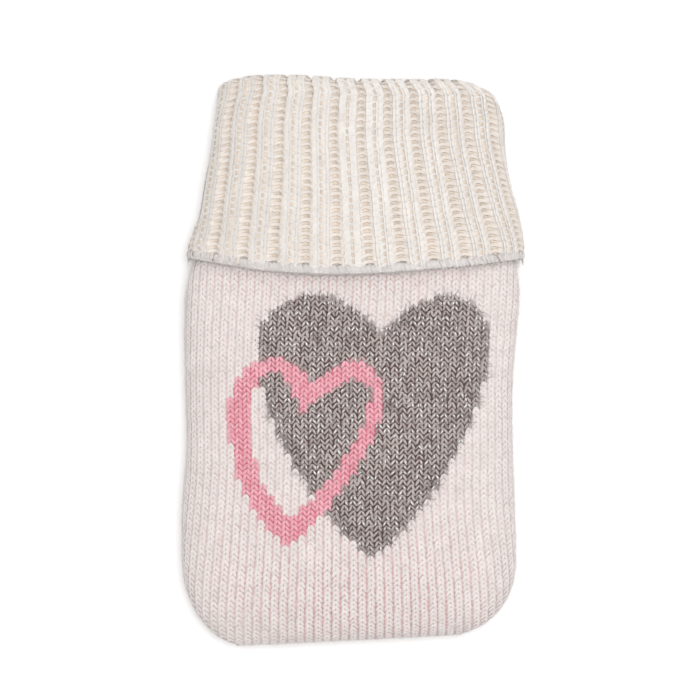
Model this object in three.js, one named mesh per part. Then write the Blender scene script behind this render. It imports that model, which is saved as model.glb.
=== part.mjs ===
// A knitted cover for a hand warmer: a hollow pouch of two panels, with a deep 2x1 rib cuff that is folded
// over outwards at its neck. It lies on its back, its neck towards +Y and its front up. Millimetres, +Z up.

import * as THREE from 'three';

// Thickness of the knitted cloth, and the air between pieces and between the layers of the cuff
const cloth = 2.2;
const seamGap = 0.3;
const layerGap = 0.6;

// Rib cuff: its turned-down layer, and the 2x1 ribs that stand up from it
const cuffCloth = 2.6;
const ribCount = 24;
const ribHeight = 1.0;

// How far the cuff's outside stands off the tube that it is folded over, and the depth of both layers together
const cuffStand = cuffCloth + layerGap;
const cuffDepth = cuffStand + cloth;

// Ends of the pieces along Y
const foldAlong = 80;
const joinAlong = 36;
const cornerAlong = -56;
const footAlong = -78.6;

// The foot: half the length of its straight edge, and how much it slants in plan
const footFlat = 28;
const footSlant = 0.05;

// Roundness of the cross-section, above the side seam and below it
const frontRoundness = 3.0;
const backRoundness = 4.2;
const backFlattening = 1.05;

// The tube, from the neck to where the lower corners begin: its two sides, its crown, the height of its
// underside and the height of its side seam
const tube = [
  { along: 78.0, left: -34.6, right: 34.0, crown: 13.6, under: 3.2, seam: 8.3 },
  { along: 74.4, left: -34.9, right: 36.6, crown: 13.9, under: 3.2, seam: 8.5 },
  { along: 67.7, left: -35.6, right: 39.1, crown: 14.5, under: 3.2, seam: 8.9 },
  { along: 58.7, left: -36.8, right: 39.6, crown: 15.5, under: 3.2, seam: 9.4 },
  { along: 49.7, left: -38.5, right: 41.0, crown: 16.7, under: 3.2, seam: 9.9 },
  { along: 40.7, left: -40.0, right: 43.4, crown: 17.9, under: 3.2, seam: 10.3 },
  { along: 32.0, left: -43.0, right: 44.8, crown: 18.8, under: 3.2, seam: 10.5 },
  { along: 29.0, left: -43.3, right: 44.6, crown: 19.2, under: 3.2, seam: 10.5 },
  { along: 26.4, left: -45.2, right: 45.8, crown: 19.6, under: 3.2, seam: 10.3 },
  { along: 19.0, left: -46.8, right: 46.6, crown: 20.2, under: 2.1, seam: 9.9 },
  { along: 9.0, left: -47.3, right: 46.0, crown: 20.8, under: 0.0, seam: 9.4 },
  { along: -6.0, left: -47.0, right: 44.8, crown: 21.1, under: 0.0, seam: 9.1 },
  { along: -24.0, left: -46.7, right: 44.8, crown: 21.0, under: 0.0, seam: 8.9 },
  { along: -42.0, left: -48.0, right: 45.5, crown: 20.6, under: 0.0, seam: 8.7 },
  { along: -56.0, left: -48.0, right: 45.8, crown: 20.0, under: 0.0, seam: 8.5 },
];

// Edges of the cuff, by place across the front from the left side (-1) to the right side (1): how far its
// fold falls short of the neck's end, and where its hem lies
const cuffEdge = [
  { across: -1.0, short: 1.6, hem: 28.6 },
  { across: -0.85, short: 0.2, hem: 27.4 },
  { across: -0.45, short: 0.0, hem: 24.6 },
  { across: 0.0, short: 1.0, hem: 23.9 },
  { across: 0.5, short: 1.2, hem: 25.6 },
  { across: 0.85, short: 1.3, hem: 27.4 },
  { across: 1.0, short: 3.4, hem: 28.5 },
];

// Where the middle rib of the front crosses the fold and the hem
const middleRibAtFold = -2.2;
const middleRibAtHem = 0.3;

// One rib and the channel beside it, by place along the repeat: the crest is two stitches wide
const ribProfile = [
  { place: 0.0, sunk: 0.0 },
  { place: 0.33, sunk: 0.0 },
  { place: 0.42, sunk: 0.85 },
  { place: 0.5, sunk: 1.0 },
  { place: 0.58, sunk: 0.85 },
  { place: 0.67, sunk: 0.0 },
];

// Soft hollows and swells in the front, where the cloth sags or is filled out
const hollows = [
  { across: -31, along: -52, reach: 15, depth: 1.4 },
  { across: 30, along: -44, reach: 14, depth: 0.7 },
  { across: -6, along: 12, reach: 22, depth: 0.8 },
  { across: 4, along: -30, reach: 26, depth: -0.7 },
];

// Steps of the meshes
const panelColumns = 20;
const panelStations = [joinAlong, 34, 32, 30.4, 29, 27.8, 26.4, 22, 15, 7, -4, -16, -29, -42];
const footSteps = 6;
const arcSamples = 720;
const foldSteps = 5;

const ivoryKnit = new THREE.MeshStandardMaterial({ color: 0xe2dbd8, roughness: 0.95, metalness: 0.0 });
const backKnit = new THREE.MeshStandardMaterial({ color: 0xded6d2, roughness: 0.95, metalness: 0.0 });
const creamRib = new THREE.MeshStandardMaterial({ color: 0xece7e2, roughness: 0.95, metalness: 0.0 });

// Value of one column of a table at a place, on a smooth curve through its rows
function readTable(table, key, column, place) {
  const upward = table[0][key] < table[table.length - 1][key];
  const rows = upward ? table : [...table].reverse();
  const last = rows.length - 1;
  const spot = THREE.MathUtils.clamp(place, rows[0][key], rows[last][key]);
  let low = 0;
  while (low < last - 1 && rows[low + 1][key] < spot) {
    low += 1;
  }
  const slopeAt = (index) => {
    const before = rows[Math.max(index - 1, 0)];
    const after = rows[Math.min(index + 1, last)];
    return (after[column] - before[column]) / (after[key] - before[key]);
  };
  const span = rows[low + 1][key] - rows[low][key];
  const t = (spot - rows[low][key]) / span;
  const startPart = (1 + 2 * t) * (1 - t) ** 2;
  const startSlopePart = t * (1 - t) ** 2;
  const endPart = t * t * (3 - 2 * t);
  const endSlopePart = t * t * (t - 1);
  const level = startPart * rows[low][column] + endPart * rows[low + 1][column];
  return level + span * (startSlopePart * slopeAt(low) + endSlopePart * slopeAt(low + 1));
}

function tubeAt(along) {
  const spot = Math.max(along, cornerAlong);
  const left = readTable(tube, 'along', 'left', spot);
  const right = readTable(tube, 'along', 'right', spot);
  return {
    middle: (left + right) / 2,
    halfWidth: (right - left) / 2,
    crown: readTable(tube, 'along', 'crown', spot),
    under: Math.max(readTable(tube, 'along', 'under', spot), 0),
    seam: readTable(tube, 'along', 'seam', spot),
  };
}

// Rise of a rounded section over its seam: 1 in the middle, falling steeply to 0 at either side
function roundedRise(across, roundness) {
  return (1 - Math.min(Math.abs(across), 1) ** roundness) ** (1 / roundness);
}

// Height of the tube's skin at a place across it; depth is how far inside the outer skin it lies
function frontHeight(section, across, depth, shrink) {
  const rise = (section.crown - section.seam - depth) * shrink;
  return section.seam + rise * roundedRise(across, frontRoundness);
}

function backHeight(section, across, depth, shrink) {
  const drop = (section.seam - section.under - depth) * shrink * backFlattening;
  const height = section.seam - drop * roundedRise(across, backRoundness);
  return Math.max(height, section.under + depth);
}

function hollowDepth(x, y) {
  return hollows.reduce((sum, spot) => {
    const far = ((x - spot.across) ** 2 + (y - spot.along) ** 2) / spot.reach ** 2;
    return sum + spot.depth * Math.exp(-far);
  }, 0);
}

// Stations down a panel: straight ones, then those round the foot, where advance runs from 0 at the start of
// the corners to 1 at the foot's edge, and shrink from 1 to 0
function stationsDownPanel() {
  const straight = panelStations.map((along) => ({ along, advance: 0, shrink: 1 }));
  const round = Array.from({ length: footSteps + 1 }, (_, step) => {
    const turn = (step / footSteps) * (Math.PI / 2);
    return { along: cornerAlong, advance: Math.sin(turn), shrink: step === footSteps ? 0 : Math.cos(turn) };
  });
  return [...straight, ...round];
}

function panelPoint(station, across, depth, isFront) {
  const section = tubeAt(station.along);
  const footReach = cornerAlong - footAlong - depth;
  const halfWidth = station.advance > 0
    ? footFlat + (section.halfWidth - depth - footFlat) * station.shrink
    : section.halfWidth - depth;
  const x = section.middle + halfWidth * across;
  const y = station.along - footReach * station.advance + footSlant * x * station.advance ** 2;
  if (isFront) {
    const sag = hollowDepth(x, y) * roundedRise(across, frontRoundness) * station.shrink;
    return [x, y, frontHeight(section, across, depth, station.shrink) - sag + seamGap / 2];
  }
  const height = backHeight(section, across, depth, station.shrink) - seamGap / 2;
  return [x, y, Math.max(height, section.under + depth)];
}

function meshFrom(name, points, triangles, material) {
  const geometry = new THREE.BufferGeometry();
  geometry.setAttribute('position', new THREE.Float32BufferAttribute(points.flat(), 3));
  geometry.setIndex(triangles);
  geometry.computeVertexNormals();
  const mesh = new THREE.Mesh(geometry, material);
  mesh.name = name;
  return mesh;
}

// A grid of points, row by row, each row a closed loop; the corner order sets which way the faces point
function gridTriangles(rowCount, loopCount, rowsClose, turned) {
  const triangles = [];
  const rowPairs = rowsClose ? rowCount : rowCount - 1;
  for (let row = 0; row < rowPairs; row += 1) {
    const next = (row + 1) % rowCount;
    for (let column = 0; column < loopCount; column += 1) {
      const beside = (column + 1) % loopCount;
      const corners = [
        row * loopCount + column,
        row * loopCount + beside,
        next * loopCount + beside,
        next * loopCount + column,
      ];
      if (turned) {
        corners.reverse();
      }
      triangles.push(corners[0], corners[1], corners[2], corners[0], corners[2], corners[3]);
    }
  }
  return triangles;
}

// The wall across the cloth's thickness at the first or last loop of a panel
function endWall(start, loopCount, turned) {
  const triangles = [];
  for (let column = 0; column < loopCount / 2 - 1; column += 1) {
    const facing = loopCount - 1 - column;
    const corners = [start + column, start + column + 1, start + facing - 1, start + facing];
    if (turned) {
      corners.reverse();
    }
    triangles.push(corners[0], corners[1], corners[2], corners[0], corners[2], corners[3]);
  }
  return triangles;
}

// One panel: each loop runs across its outside and back across its inside, so its rim is part of the loop
function panel(name, isFront, material) {
  const stations = stationsDownPanel();
  const acrossPlaces = Array.from({ length: panelColumns + 1 }, (_, column) => {
    return Math.cos((column / panelColumns) * Math.PI);
  });
  const points = [];
  for (const station of stations) {
    acrossPlaces.forEach((across) => points.push(panelPoint(station, across, 0, isFront)));
    [...acrossPlaces].reverse().forEach((across) => points.push(panelPoint(station, across, cloth, isFront)));
  }
  const loopCount = 2 * acrossPlaces.length;
  const lastLoop = (stations.length - 1) * loopCount;
  const triangles = [
    ...gridTriangles(stations.length, loopCount, false, !isFront),
    ...endWall(0, loopCount, isFront),
    ...endWall(lastLoop, loopCount, !isFront),
  ];
  return meshFrom(name, points, triangles, material);
}

// Point of the cuff's skin; angle runs round the tube from its right side over the front
function cuffSkin(along, angle, depth) {
  const base = tubeAt(Math.min(along, foldAlong));
  const section = {
    seam: base.seam,
    crown: base.crown + cuffStand,
    under: Math.max(base.under - cuffStand, 0),
  };
  const across = Math.cos(angle);
  const x = base.middle + (base.halfWidth + cuffStand - depth) * across;
  const height = Math.sin(angle) >= 0 ? frontHeight : backHeight;
  return [x, along, height(section, across, depth, 1)];
}

// Length run round the cuff's outside at a station, sampled finely
function roundRun(along) {
  const runs = [{ angle: 0, run: 0 }];
  let before = cuffSkin(along, 0, 0);
  for (let sample = 1; sample <= arcSamples; sample += 1) {
    const angle = (sample / arcSamples) * 2 * Math.PI;
    const here = cuffSkin(along, angle, 0);
    const step = Math.hypot(here[0] - before[0], here[2] - before[2]);
    runs.push({ angle, run: runs[sample - 1].run + step });
    before = here;
  }
  return runs;
}

function angleAtRun(runs, share) {
  const total = runs[arcSamples].run;
  const wanted = (share - Math.floor(share)) * total;
  const above = Math.max(runs.findIndex((entry) => entry.run >= wanted), 1);
  const part = (wanted - runs[above - 1].run) / (runs[above].run - runs[above - 1].run);
  return THREE.MathUtils.lerp(runs[above - 1].angle, runs[above].angle, part);
}

function shareAtFrontPlace(along, runs, x) {
  const base = tubeAt(along);
  const angle = Math.acos((x - base.middle) / (base.halfWidth + cuffStand));
  const sample = Math.round((angle / (2 * Math.PI)) * arcSamples);
  return runs[sample].run / runs[arcSamples].run;
}

// Angles of the cuff's columns and how far each is sunk, on the slanting lines of the ribs; height runs from
// 0 at the hem to 1 at the fold
function ribColumns(height) {
  const hemAlong = readTable(cuffEdge, 'across', 'hem', 0);
  const along = THREE.MathUtils.lerp(hemAlong, foldAlong, height);
  const runs = roundRun(along);
  const middleRib = THREE.MathUtils.lerp(middleRibAtHem, middleRibAtFold, height);
  const start = shareAtFrontPlace(along, runs, middleRib);
  const columns = [];
  for (let rib = 0; rib < ribCount; rib += 1) {
    for (const { place, sunk } of ribProfile) {
      columns.push({ angle: angleAtRun(runs, start + (rib + place) / ribCount), sunk });
    }
  }
  return columns;
}

// The cuff's cross-section from the hem, up its outside, over the fold, down into the mouth to where it joins
// the panels, and back between its two layers. height is 0 at the hem and 1 where the fold begins; beyond and
// depth are then added to it, and ribbed says how much of the rib's relief the place has
function cuffLoop() {
  const turnRadius = cuffDepth / 2;
  const hemRadius = cuffCloth / 2;
  const outside = [0.06, 0.2, 0.36, 0.52, 0.68, 0.84, 1.0].map((height) => {
    return { height, beyond: 0, depth: 0, ribbed: 1 };
  });
  const fold = Array.from({ length: foldSteps }, (_, step) => {
    const turn = ((step + 1) / (foldSteps + 1)) * Math.PI;
    return {
      height: 1,
      beyond: turnRadius * Math.sin(turn),
      depth: turnRadius * (1 - Math.cos(turn)),
      ribbed: Math.cos(turn / 2),
      atFold: true,
    };
  });
  const mouth = [1.0, 0.72, 0.42].map((height) => ({ height, beyond: 0, depth: cuffDepth, ribbed: 0 }));
  const join = [
    { atJoin: true, height: 0.23, beyond: 0, depth: cuffDepth, ribbed: 0 },
    { atJoin: true, height: 0.23, beyond: 0, depth: cuffStand, ribbed: 0 },
  ];
  const between = [
    { height: 0.42, beyond: 0, depth: cuffStand, ribbed: 0 },
    { height: 0.72, beyond: 0, depth: cuffStand, ribbed: 0 },
    { height: 0.99, beyond: 0, depth: cuffStand, ribbed: 0 },
    { height: 0.99, beyond: 0, depth: cuffCloth, ribbed: 0 },
    { height: 0.72, beyond: 0, depth: cuffCloth, ribbed: 0 },
    { height: 0.42, beyond: 0, depth: cuffCloth, ribbed: 0 },
    { height: 0.26, beyond: 0, depth: cuffCloth, ribbed: 0 },
    { height: 0.14, beyond: 0, depth: cuffCloth, ribbed: 0 },
    { height: 0.07, beyond: 0, depth: cuffCloth, ribbed: 0 },
  ];
  const hem = [
    { height: 0, beyond: hemRadius * 0.4, depth: cuffCloth, ribbed: 0 },
    { height: 0, beyond: 0, depth: hemRadius * 1.4, ribbed: 0 },
    { height: 0, beyond: hemRadius * 0.3, depth: hemRadius * 0.4, ribbed: 0.6 },
  ];
  return [...outside, ...fold, ...mouth, ...join, ...between, ...hem];
}

function cuff(name, material) {
  const turnRadius = cuffDepth / 2;
  const loop = cuffLoop();
  const points = [];
  for (const spot of loop) {
    for (const column of ribColumns(spot.height)) {
      const across = Math.cos(column.angle);
      const hemAlong = readTable(cuffEdge, 'across', 'hem', across);
      const foldStart = foldAlong - turnRadius - readTable(cuffEdge, 'across', 'short', across);
      const sunk = ribHeight * column.sunk * spot.ribbed;
      const along = spot.atJoin
        ? joinAlong + seamGap
        : THREE.MathUtils.lerp(hemAlong, foldStart, spot.height) + spot.beyond;
      const shortened = spot.atFold ? sunk * (spot.beyond / turnRadius) : 0;
      const deeper = sunk * (1 - spot.depth / turnRadius);
      points.push(cuffSkin(along - shortened, column.angle, spot.depth + Math.max(deeper, 0)));
    }
  }
  const triangles = gridTriangles(loop.length, ribCount * ribProfile.length, true, true);
  return meshFrom(name, points, triangles, material);
}

const handWarmerCover = new THREE.Group();
handWarmerCover.add(panel('front_panel', true, ivoryKnit));
handWarmerCover.add(panel('back_panel', false, backKnit));
handWarmerCover.add(cuff('rib_cuff', creamRib));

export default handWarmerCover;
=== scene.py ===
# %% [markdown]
# # A knitted hand warmer cover
# The cover is a small knitted pouch with a deep rib cuff folded over outwards at its neck. It lies on its
# back. Cloth this coarse is seen stitch by stitch, so the cloth is built in two layers: a thin closed sheet
# that carries the shape and the colour seen in the gaps, and on it every stitch as its own small grain of
# yarn. All the grains of one yarn are worked out together as numpy arrays and become one mesh.

import bpy
import numpy as np
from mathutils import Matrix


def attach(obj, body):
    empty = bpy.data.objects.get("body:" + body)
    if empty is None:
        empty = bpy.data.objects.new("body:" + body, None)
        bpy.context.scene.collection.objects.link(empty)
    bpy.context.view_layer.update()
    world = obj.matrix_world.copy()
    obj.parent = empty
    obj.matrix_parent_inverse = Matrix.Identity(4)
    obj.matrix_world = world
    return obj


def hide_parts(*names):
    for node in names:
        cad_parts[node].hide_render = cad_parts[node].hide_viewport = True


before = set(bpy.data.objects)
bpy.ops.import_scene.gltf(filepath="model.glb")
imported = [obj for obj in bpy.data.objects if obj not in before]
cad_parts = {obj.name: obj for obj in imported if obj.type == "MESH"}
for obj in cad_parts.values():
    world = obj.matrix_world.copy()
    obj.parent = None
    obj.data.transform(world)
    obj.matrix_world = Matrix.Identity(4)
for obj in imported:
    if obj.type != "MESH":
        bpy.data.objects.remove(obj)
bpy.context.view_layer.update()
MM = 0.001

# %% [markdown]
# The camera looks straight down on the cover, so the neck is at the top of the picture. It is placed by the
# scale of the picture: so many pixels to a millimetre at the height of the cover's side seam. A long lens
# from far away keeps the sides from leaning. Nothing here uses Blender's own render size.

# %% Camera
PICTURE_SIDE_PX = 700
PX_PER_MM = 3.56
OBJECT_ORIGIN_PX = (353.0, 361.0)
SEAM_HEIGHT_MM = 10.0
CAMERA_DISTANCE_MM = 700.0
SENSOR_MM = 36.0

camera_data = bpy.data.cameras.new("overhead_camera")
camera_data.sensor_width = SENSOR_MM
camera_data.lens = PX_PER_MM * SENSOR_MM * CAMERA_DISTANCE_MM / PICTURE_SIDE_PX
camera_data.clip_start = 0.05
camera_data.clip_end = 20.0
camera = bpy.data.objects.new("overhead_camera", camera_data)
camera.location = (
    (PICTURE_SIDE_PX / 2 - OBJECT_ORIGIN_PX[0]) / PX_PER_MM * MM,
    (OBJECT_ORIGIN_PX[1] - PICTURE_SIDE_PX / 2) / PX_PER_MM * MM,
    (CAMERA_DISTANCE_MM + SEAM_HEIGHT_MM) * MM,
)
bpy.context.scene.collection.objects.link(camera)
bpy.context.scene.camera = camera
print("lens in mm", round(camera_data.lens, 1))

# %% [markdown]
# The light is a plain studio's: a soft lamp over the middle, near the line of sight, so that hardly a shadow
# shows; a weaker one from the upper right; and a pale surround. The floor is a large pale disc. It is
# brighter than the yarn, as white paper is.

# %% Light and floor
FLOOR_RADIUS = 1.6
FLOOR_SIDES = 96
FLOOR_ALBEDO = 0.93
SURROUND_COLOUR = (1.0, 0.99, 0.98, 1.0)
SURROUND_STRENGTH = 0.62
LAMPS = {
    "overhead_lamp": {"place": (0.05, 0.05, 1.2), "side": 0.45, "power": 9.0},
    "side_lamp": {"place": (0.9, 0.8, 0.9), "side": 0.5, "power": 2.5},
}


def soft_lamp(name, place, side, power):
    """Adds a square lamp at place, turned to face the cover."""
    data = bpy.data.lights.new(name, "AREA")
    data.shape = "SQUARE"
    data.size = side
    data.energy = power
    lamp = bpy.data.objects.new(name, data)
    lamp.location = place
    aim = -lamp.location.normalized()
    lamp.rotation_euler = aim.to_track_quat("-Z", "Y").to_euler()
    bpy.context.scene.collection.objects.link(lamp)


for lamp_name, lamp_values in LAMPS.items():
    soft_lamp(lamp_name, **lamp_values)

world = bpy.data.worlds.new("pale_surround")
world.use_nodes = True
background = world.node_tree.nodes["Background"]
background.inputs["Color"].default_value = SURROUND_COLOUR
background.inputs["Strength"].default_value = SURROUND_STRENGTH
bpy.context.scene.world = world
bpy.context.scene.view_settings.view_transform = "Standard"
bpy.context.scene.view_settings.look = "None"


def floor_disc(radius, sides):
    """A flat disc at the cover's resting height: one polygon round the origin."""
    angles = np.linspace(0.0, 2.0 * np.pi, sides, endpoint=False)
    ring = np.stack([radius * np.cos(angles), radius * np.sin(angles), np.zeros(sides)], axis=1)
    mesh = bpy.data.meshes.new("floor")
    mesh.from_pydata(ring.tolist(), [], [list(range(sides))])
    floor = bpy.data.objects.new("floor", mesh)
    bpy.context.scene.collection.objects.link(floor)
    return floor


floor = floor_disc(FLOOR_RADIUS, FLOOR_SIDES)
floor_paper = bpy.data.materials.new("floor_paper")
floor_paper.use_nodes = True
floor_shader = floor_paper.node_tree.nodes["Principled BSDF"]
floor_shader.inputs["Base Color"].default_value = (FLOOR_ALBEDO, FLOOR_ALBEDO, FLOOR_ALBEDO, 1.0)
floor_shader.inputs["Roughness"].default_value = 0.9
floor.data.materials.append(floor_paper)
print("lamps", list(LAMPS), "and a floor", 2 * FLOOR_RADIUS, "m wide")

# %% [markdown]
# The cloth's shape comes from a short table, a row for each place along the tube of cloth: where its two
# sides are, how high its crown and its underside lie, and how high the side seam runs. Sizes are in
# millimetres, as in the solids, and places along the cover run from the foot to the neck. Between the rows
# the values follow a smooth curve.
#
# Two more tables bend this plain shape. One holds the cuff's edges, for places from its left side (-1) to its
# right side (1): how far short of the full length the fold stops, and where the hem lies. The other holds
# the soft hollows in the front, and one swell, which is a hollow of less than no depth.

# %% Shape of the pouch
CLOTH = 2.2
CUFF_CLOTH = 2.6
LAYER_GAP = 0.6
SEAM_GAP = 0.3
RIB_COUNT = 24
RIB_HEIGHT = 1.0
CUFF_STAND = CUFF_CLOTH + LAYER_GAP
CUFF_DEPTH = CUFF_STAND + CLOTH
FOLD_ALONG = 80.0
JOIN_ALONG = 36.0
CORNER_ALONG = -56.0
FOOT_ALONG = -78.6
FOOT_FLAT = 28.0
FOOT_SLANT = 0.05
FRONT_ROUNDNESS = 3.0
BACK_ROUNDNESS = 4.2
BACK_FLATTENING = 1.05

TUBE_COLUMNS = ("along", "left", "right", "crown", "under", "seam")
TUBE_ROWS = [
    (-56.0, -48.0, 45.8, 20.0, 0.0, 8.5),
    (-42.0, -48.0, 45.5, 20.6, 0.0, 8.7),
    (-24.0, -46.7, 44.8, 21.0, 0.0, 8.9),
    (-6.0, -47.0, 44.8, 21.1, 0.0, 9.1),
    (9.0, -47.3, 46.0, 20.8, 0.0, 9.4),
    (19.0, -46.8, 46.6, 20.2, 2.1, 9.9),
    (26.4, -45.2, 45.8, 19.6, 3.2, 10.3),
    (29.0, -43.3, 44.6, 19.2, 3.2, 10.5),
    (32.0, -43.0, 44.8, 18.8, 3.2, 10.5),
    (40.7, -40.0, 43.4, 17.9, 3.2, 10.3),
    (49.7, -38.5, 41.0, 16.7, 3.2, 9.9),
    (58.7, -36.8, 39.6, 15.5, 3.2, 9.4),
    (67.7, -35.6, 39.1, 14.5, 3.2, 8.9),
    (74.4, -34.9, 36.6, 13.9, 3.2, 8.5),
    (78.0, -34.6, 34.0, 13.6, 3.2, 8.3),
]
TUBE = dict(zip(TUBE_COLUMNS, np.array(TUBE_ROWS).T))

EDGE_COLUMNS = ("across", "short", "hem")
EDGE_ROWS = [
    (-1.0, 1.6, 28.6),
    (-0.85, 0.2, 27.4),
    (-0.45, 0.0, 24.6),
    (0.0, 1.0, 23.9),
    (0.5, 1.2, 25.6),
    (0.85, 1.3, 27.4),
    (1.0, 3.4, 28.5),
]
EDGE = dict(zip(EDGE_COLUMNS, np.array(EDGE_ROWS).T))

HOLLOW_COLUMNS = ("across", "along", "reach", "depth")
HOLLOW_ROWS = [
    (-31.0, -52.0, 15.0, 1.4),
    (30.0, -44.0, 14.0, 0.7),
    (-6.0, 12.0, 22.0, 0.8),
    (4.0, -30.0, 26.0, -0.7),
]
HOLLOWS = dict(zip(HOLLOW_COLUMNS, np.array(HOLLOW_ROWS).T))


def smooth_through(places, levels, at):
    """The smooth curve through the points (places, levels), read at many places: on each span it is a
    cubic whose end slopes are those of the chords over the two neighbouring spans."""
    at = np.clip(at, places[0], places[-1])
    low = np.clip(np.searchsorted(places, at) - 1, 0, len(places) - 2)
    before = np.maximum(np.arange(len(places)) - 1, 0)
    after = np.minimum(np.arange(len(places)) + 1, len(places) - 1)
    slopes = (levels[after] - levels[before]) / (places[after] - places[before])
    span = places[low + 1] - places[low]
    t = (at - places[low]) / span
    level = (1 + 2 * t) * (1 - t) ** 2 * levels[low] + t * t * (3 - 2 * t) * levels[low + 1]
    slope = t * (1 - t) ** 2 * slopes[low] + t * t * (t - 1) * slopes[low + 1]
    return level + span * slope


def tube_at(along):
    """Sides, crown, underside and seam of the tube at places along it."""
    left, right, crown, under, seam = (
        smooth_through(TUBE["along"], TUBE[name], along) for name in TUBE_COLUMNS[1:]
    )
    return {
        "middle": (left + right) / 2,
        "half_width": (right - left) / 2,
        "crown": crown,
        "under": np.maximum(under, 0.0),
        "seam": seam,
    }


def rounded_rise(across, roundness):
    """Rise of a rounded section over its seam: (1 - |across|^n)^(1/n)."""
    return (1 - np.minimum(np.abs(across), 1) ** roundness) ** (1 / roundness)


def front_height(section, across, depth, shrink):
    """Height of the front: seam + (crown - seam - depth) * shrink * rounded_rise."""
    rise = (section["crown"] - section["seam"] - depth) * shrink
    return section["seam"] + rise * rounded_rise(across, FRONT_ROUNDNESS)


def back_height(section, across, depth, shrink):
    """Height of the back: seam - (seam - under - depth) * shrink * flattening * rounded_rise. The
    flattening is a little over 1, so that the middle comes down flat on the underside."""
    drop = (section["seam"] - section["under"] - depth) * shrink * BACK_FLATTENING
    height = section["seam"] - drop * rounded_rise(across, BACK_ROUNDNESS)
    return np.maximum(height, section["under"] + depth)


def panel_skin(along, turn, across, depth, is_front):
    """Points of a panel. Down to the corners the section at a place along is used as it is. Round the
    foot the turn goes from 0 to a right angle: the section moves on by its sine and shrinks by its
    cosine, to a straight edge. depth is how far inside the outer skin the point lies."""
    section = tube_at(along)
    advance = np.sin(turn)
    shrink = np.cos(turn)
    half_width = section["half_width"] - depth
    rounded = FOOT_FLAT + (half_width - FOOT_FLAT) * shrink
    x = section["middle"] + np.where(turn > 0, rounded, half_width) * across
    y = along - (CORNER_ALONG - FOOT_ALONG - depth) * advance + FOOT_SLANT * x * advance**2
    if not is_front:
        z = back_height(section, across, depth, shrink) - SEAM_GAP / 2
        return np.stack(np.broadcast_arrays(x, y, np.maximum(z, section["under"] + depth)), axis=-1)
    far = (x[..., None] - HOLLOWS["across"]) ** 2 + (y[..., None] - HOLLOWS["along"]) ** 2
    sag = (HOLLOWS["depth"] * np.exp(-far / HOLLOWS["reach"] ** 2)).sum(axis=-1)
    z = front_height(section, across, depth, shrink) + SEAM_GAP / 2
    z = z - sag * rounded_rise(across, FRONT_ROUNDNESS) * shrink
    return np.stack(np.broadcast_arrays(x, y, z), axis=-1)


print("crown at mid length, mm", round(float(tube_at(np.array(0.0))["crown"]), 2))

# %% [markdown]
# Stocking stitch is a lattice: courses run across and wales run down. On a curved pouch the lattice has to
# be even along the cloth and not in plan, so distances are measured along the skin: courses down the middle
# of the panel, and wales across each course from its middle. The wales spread a little towards the foot.

# %% Lattice of stitches on a panel
WALE_PITCH = 2.28
WALE_PITCH_AT_FOOT = 2.48
COURSE_PITCH = 1.42
WALES_EACH_SIDE = 26
WALES_SPREAD_FROM = -30.0
WALES_SPREAD_OVER = 48.0
STITCHES_FROM = 33.0
LAST_COURSE_SHARE = 0.3
RIM_MARGIN = 0.95
RIM_WALE_LEAST = 0.9
SIDEWAYS_STEP = 0.3
STRAIGHT_SAMPLES = 500
TURN_SAMPLES = 300
ACROSS_SAMPLES = 401
MIDDLE_SAMPLE = ACROSS_SAMPLES // 2


def unit(vectors):
    """The vectors at a length of 1."""
    return vectors / np.maximum(np.linalg.norm(vectors, axis=-1, keepdims=True), 1e-12)


def course_places(start_along, is_front):
    """Places of the courses, as along and turn, a course pitch apart along the panel's middle line."""
    straight = np.linspace(start_along, CORNER_ALONG, STRAIGHT_SAMPLES)
    turns = np.linspace(0.0, np.pi / 2, TURN_SAMPLES)[1:]
    along = np.concatenate([straight, np.full(len(turns), CORNER_ALONG)])
    turn = np.concatenate([np.zeros(len(straight)), turns])
    line = panel_skin(along, turn, np.zeros(len(along)), 0.0, is_front)
    run = np.concatenate([[0.0], np.cumsum(np.linalg.norm(np.diff(line, axis=0), axis=1))])
    at = np.arange(0.0, run[-1] - LAST_COURSE_SHARE * COURSE_PITCH, COURSE_PITCH)
    return np.interp(at, run, along), np.interp(at, run, turn)


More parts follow.
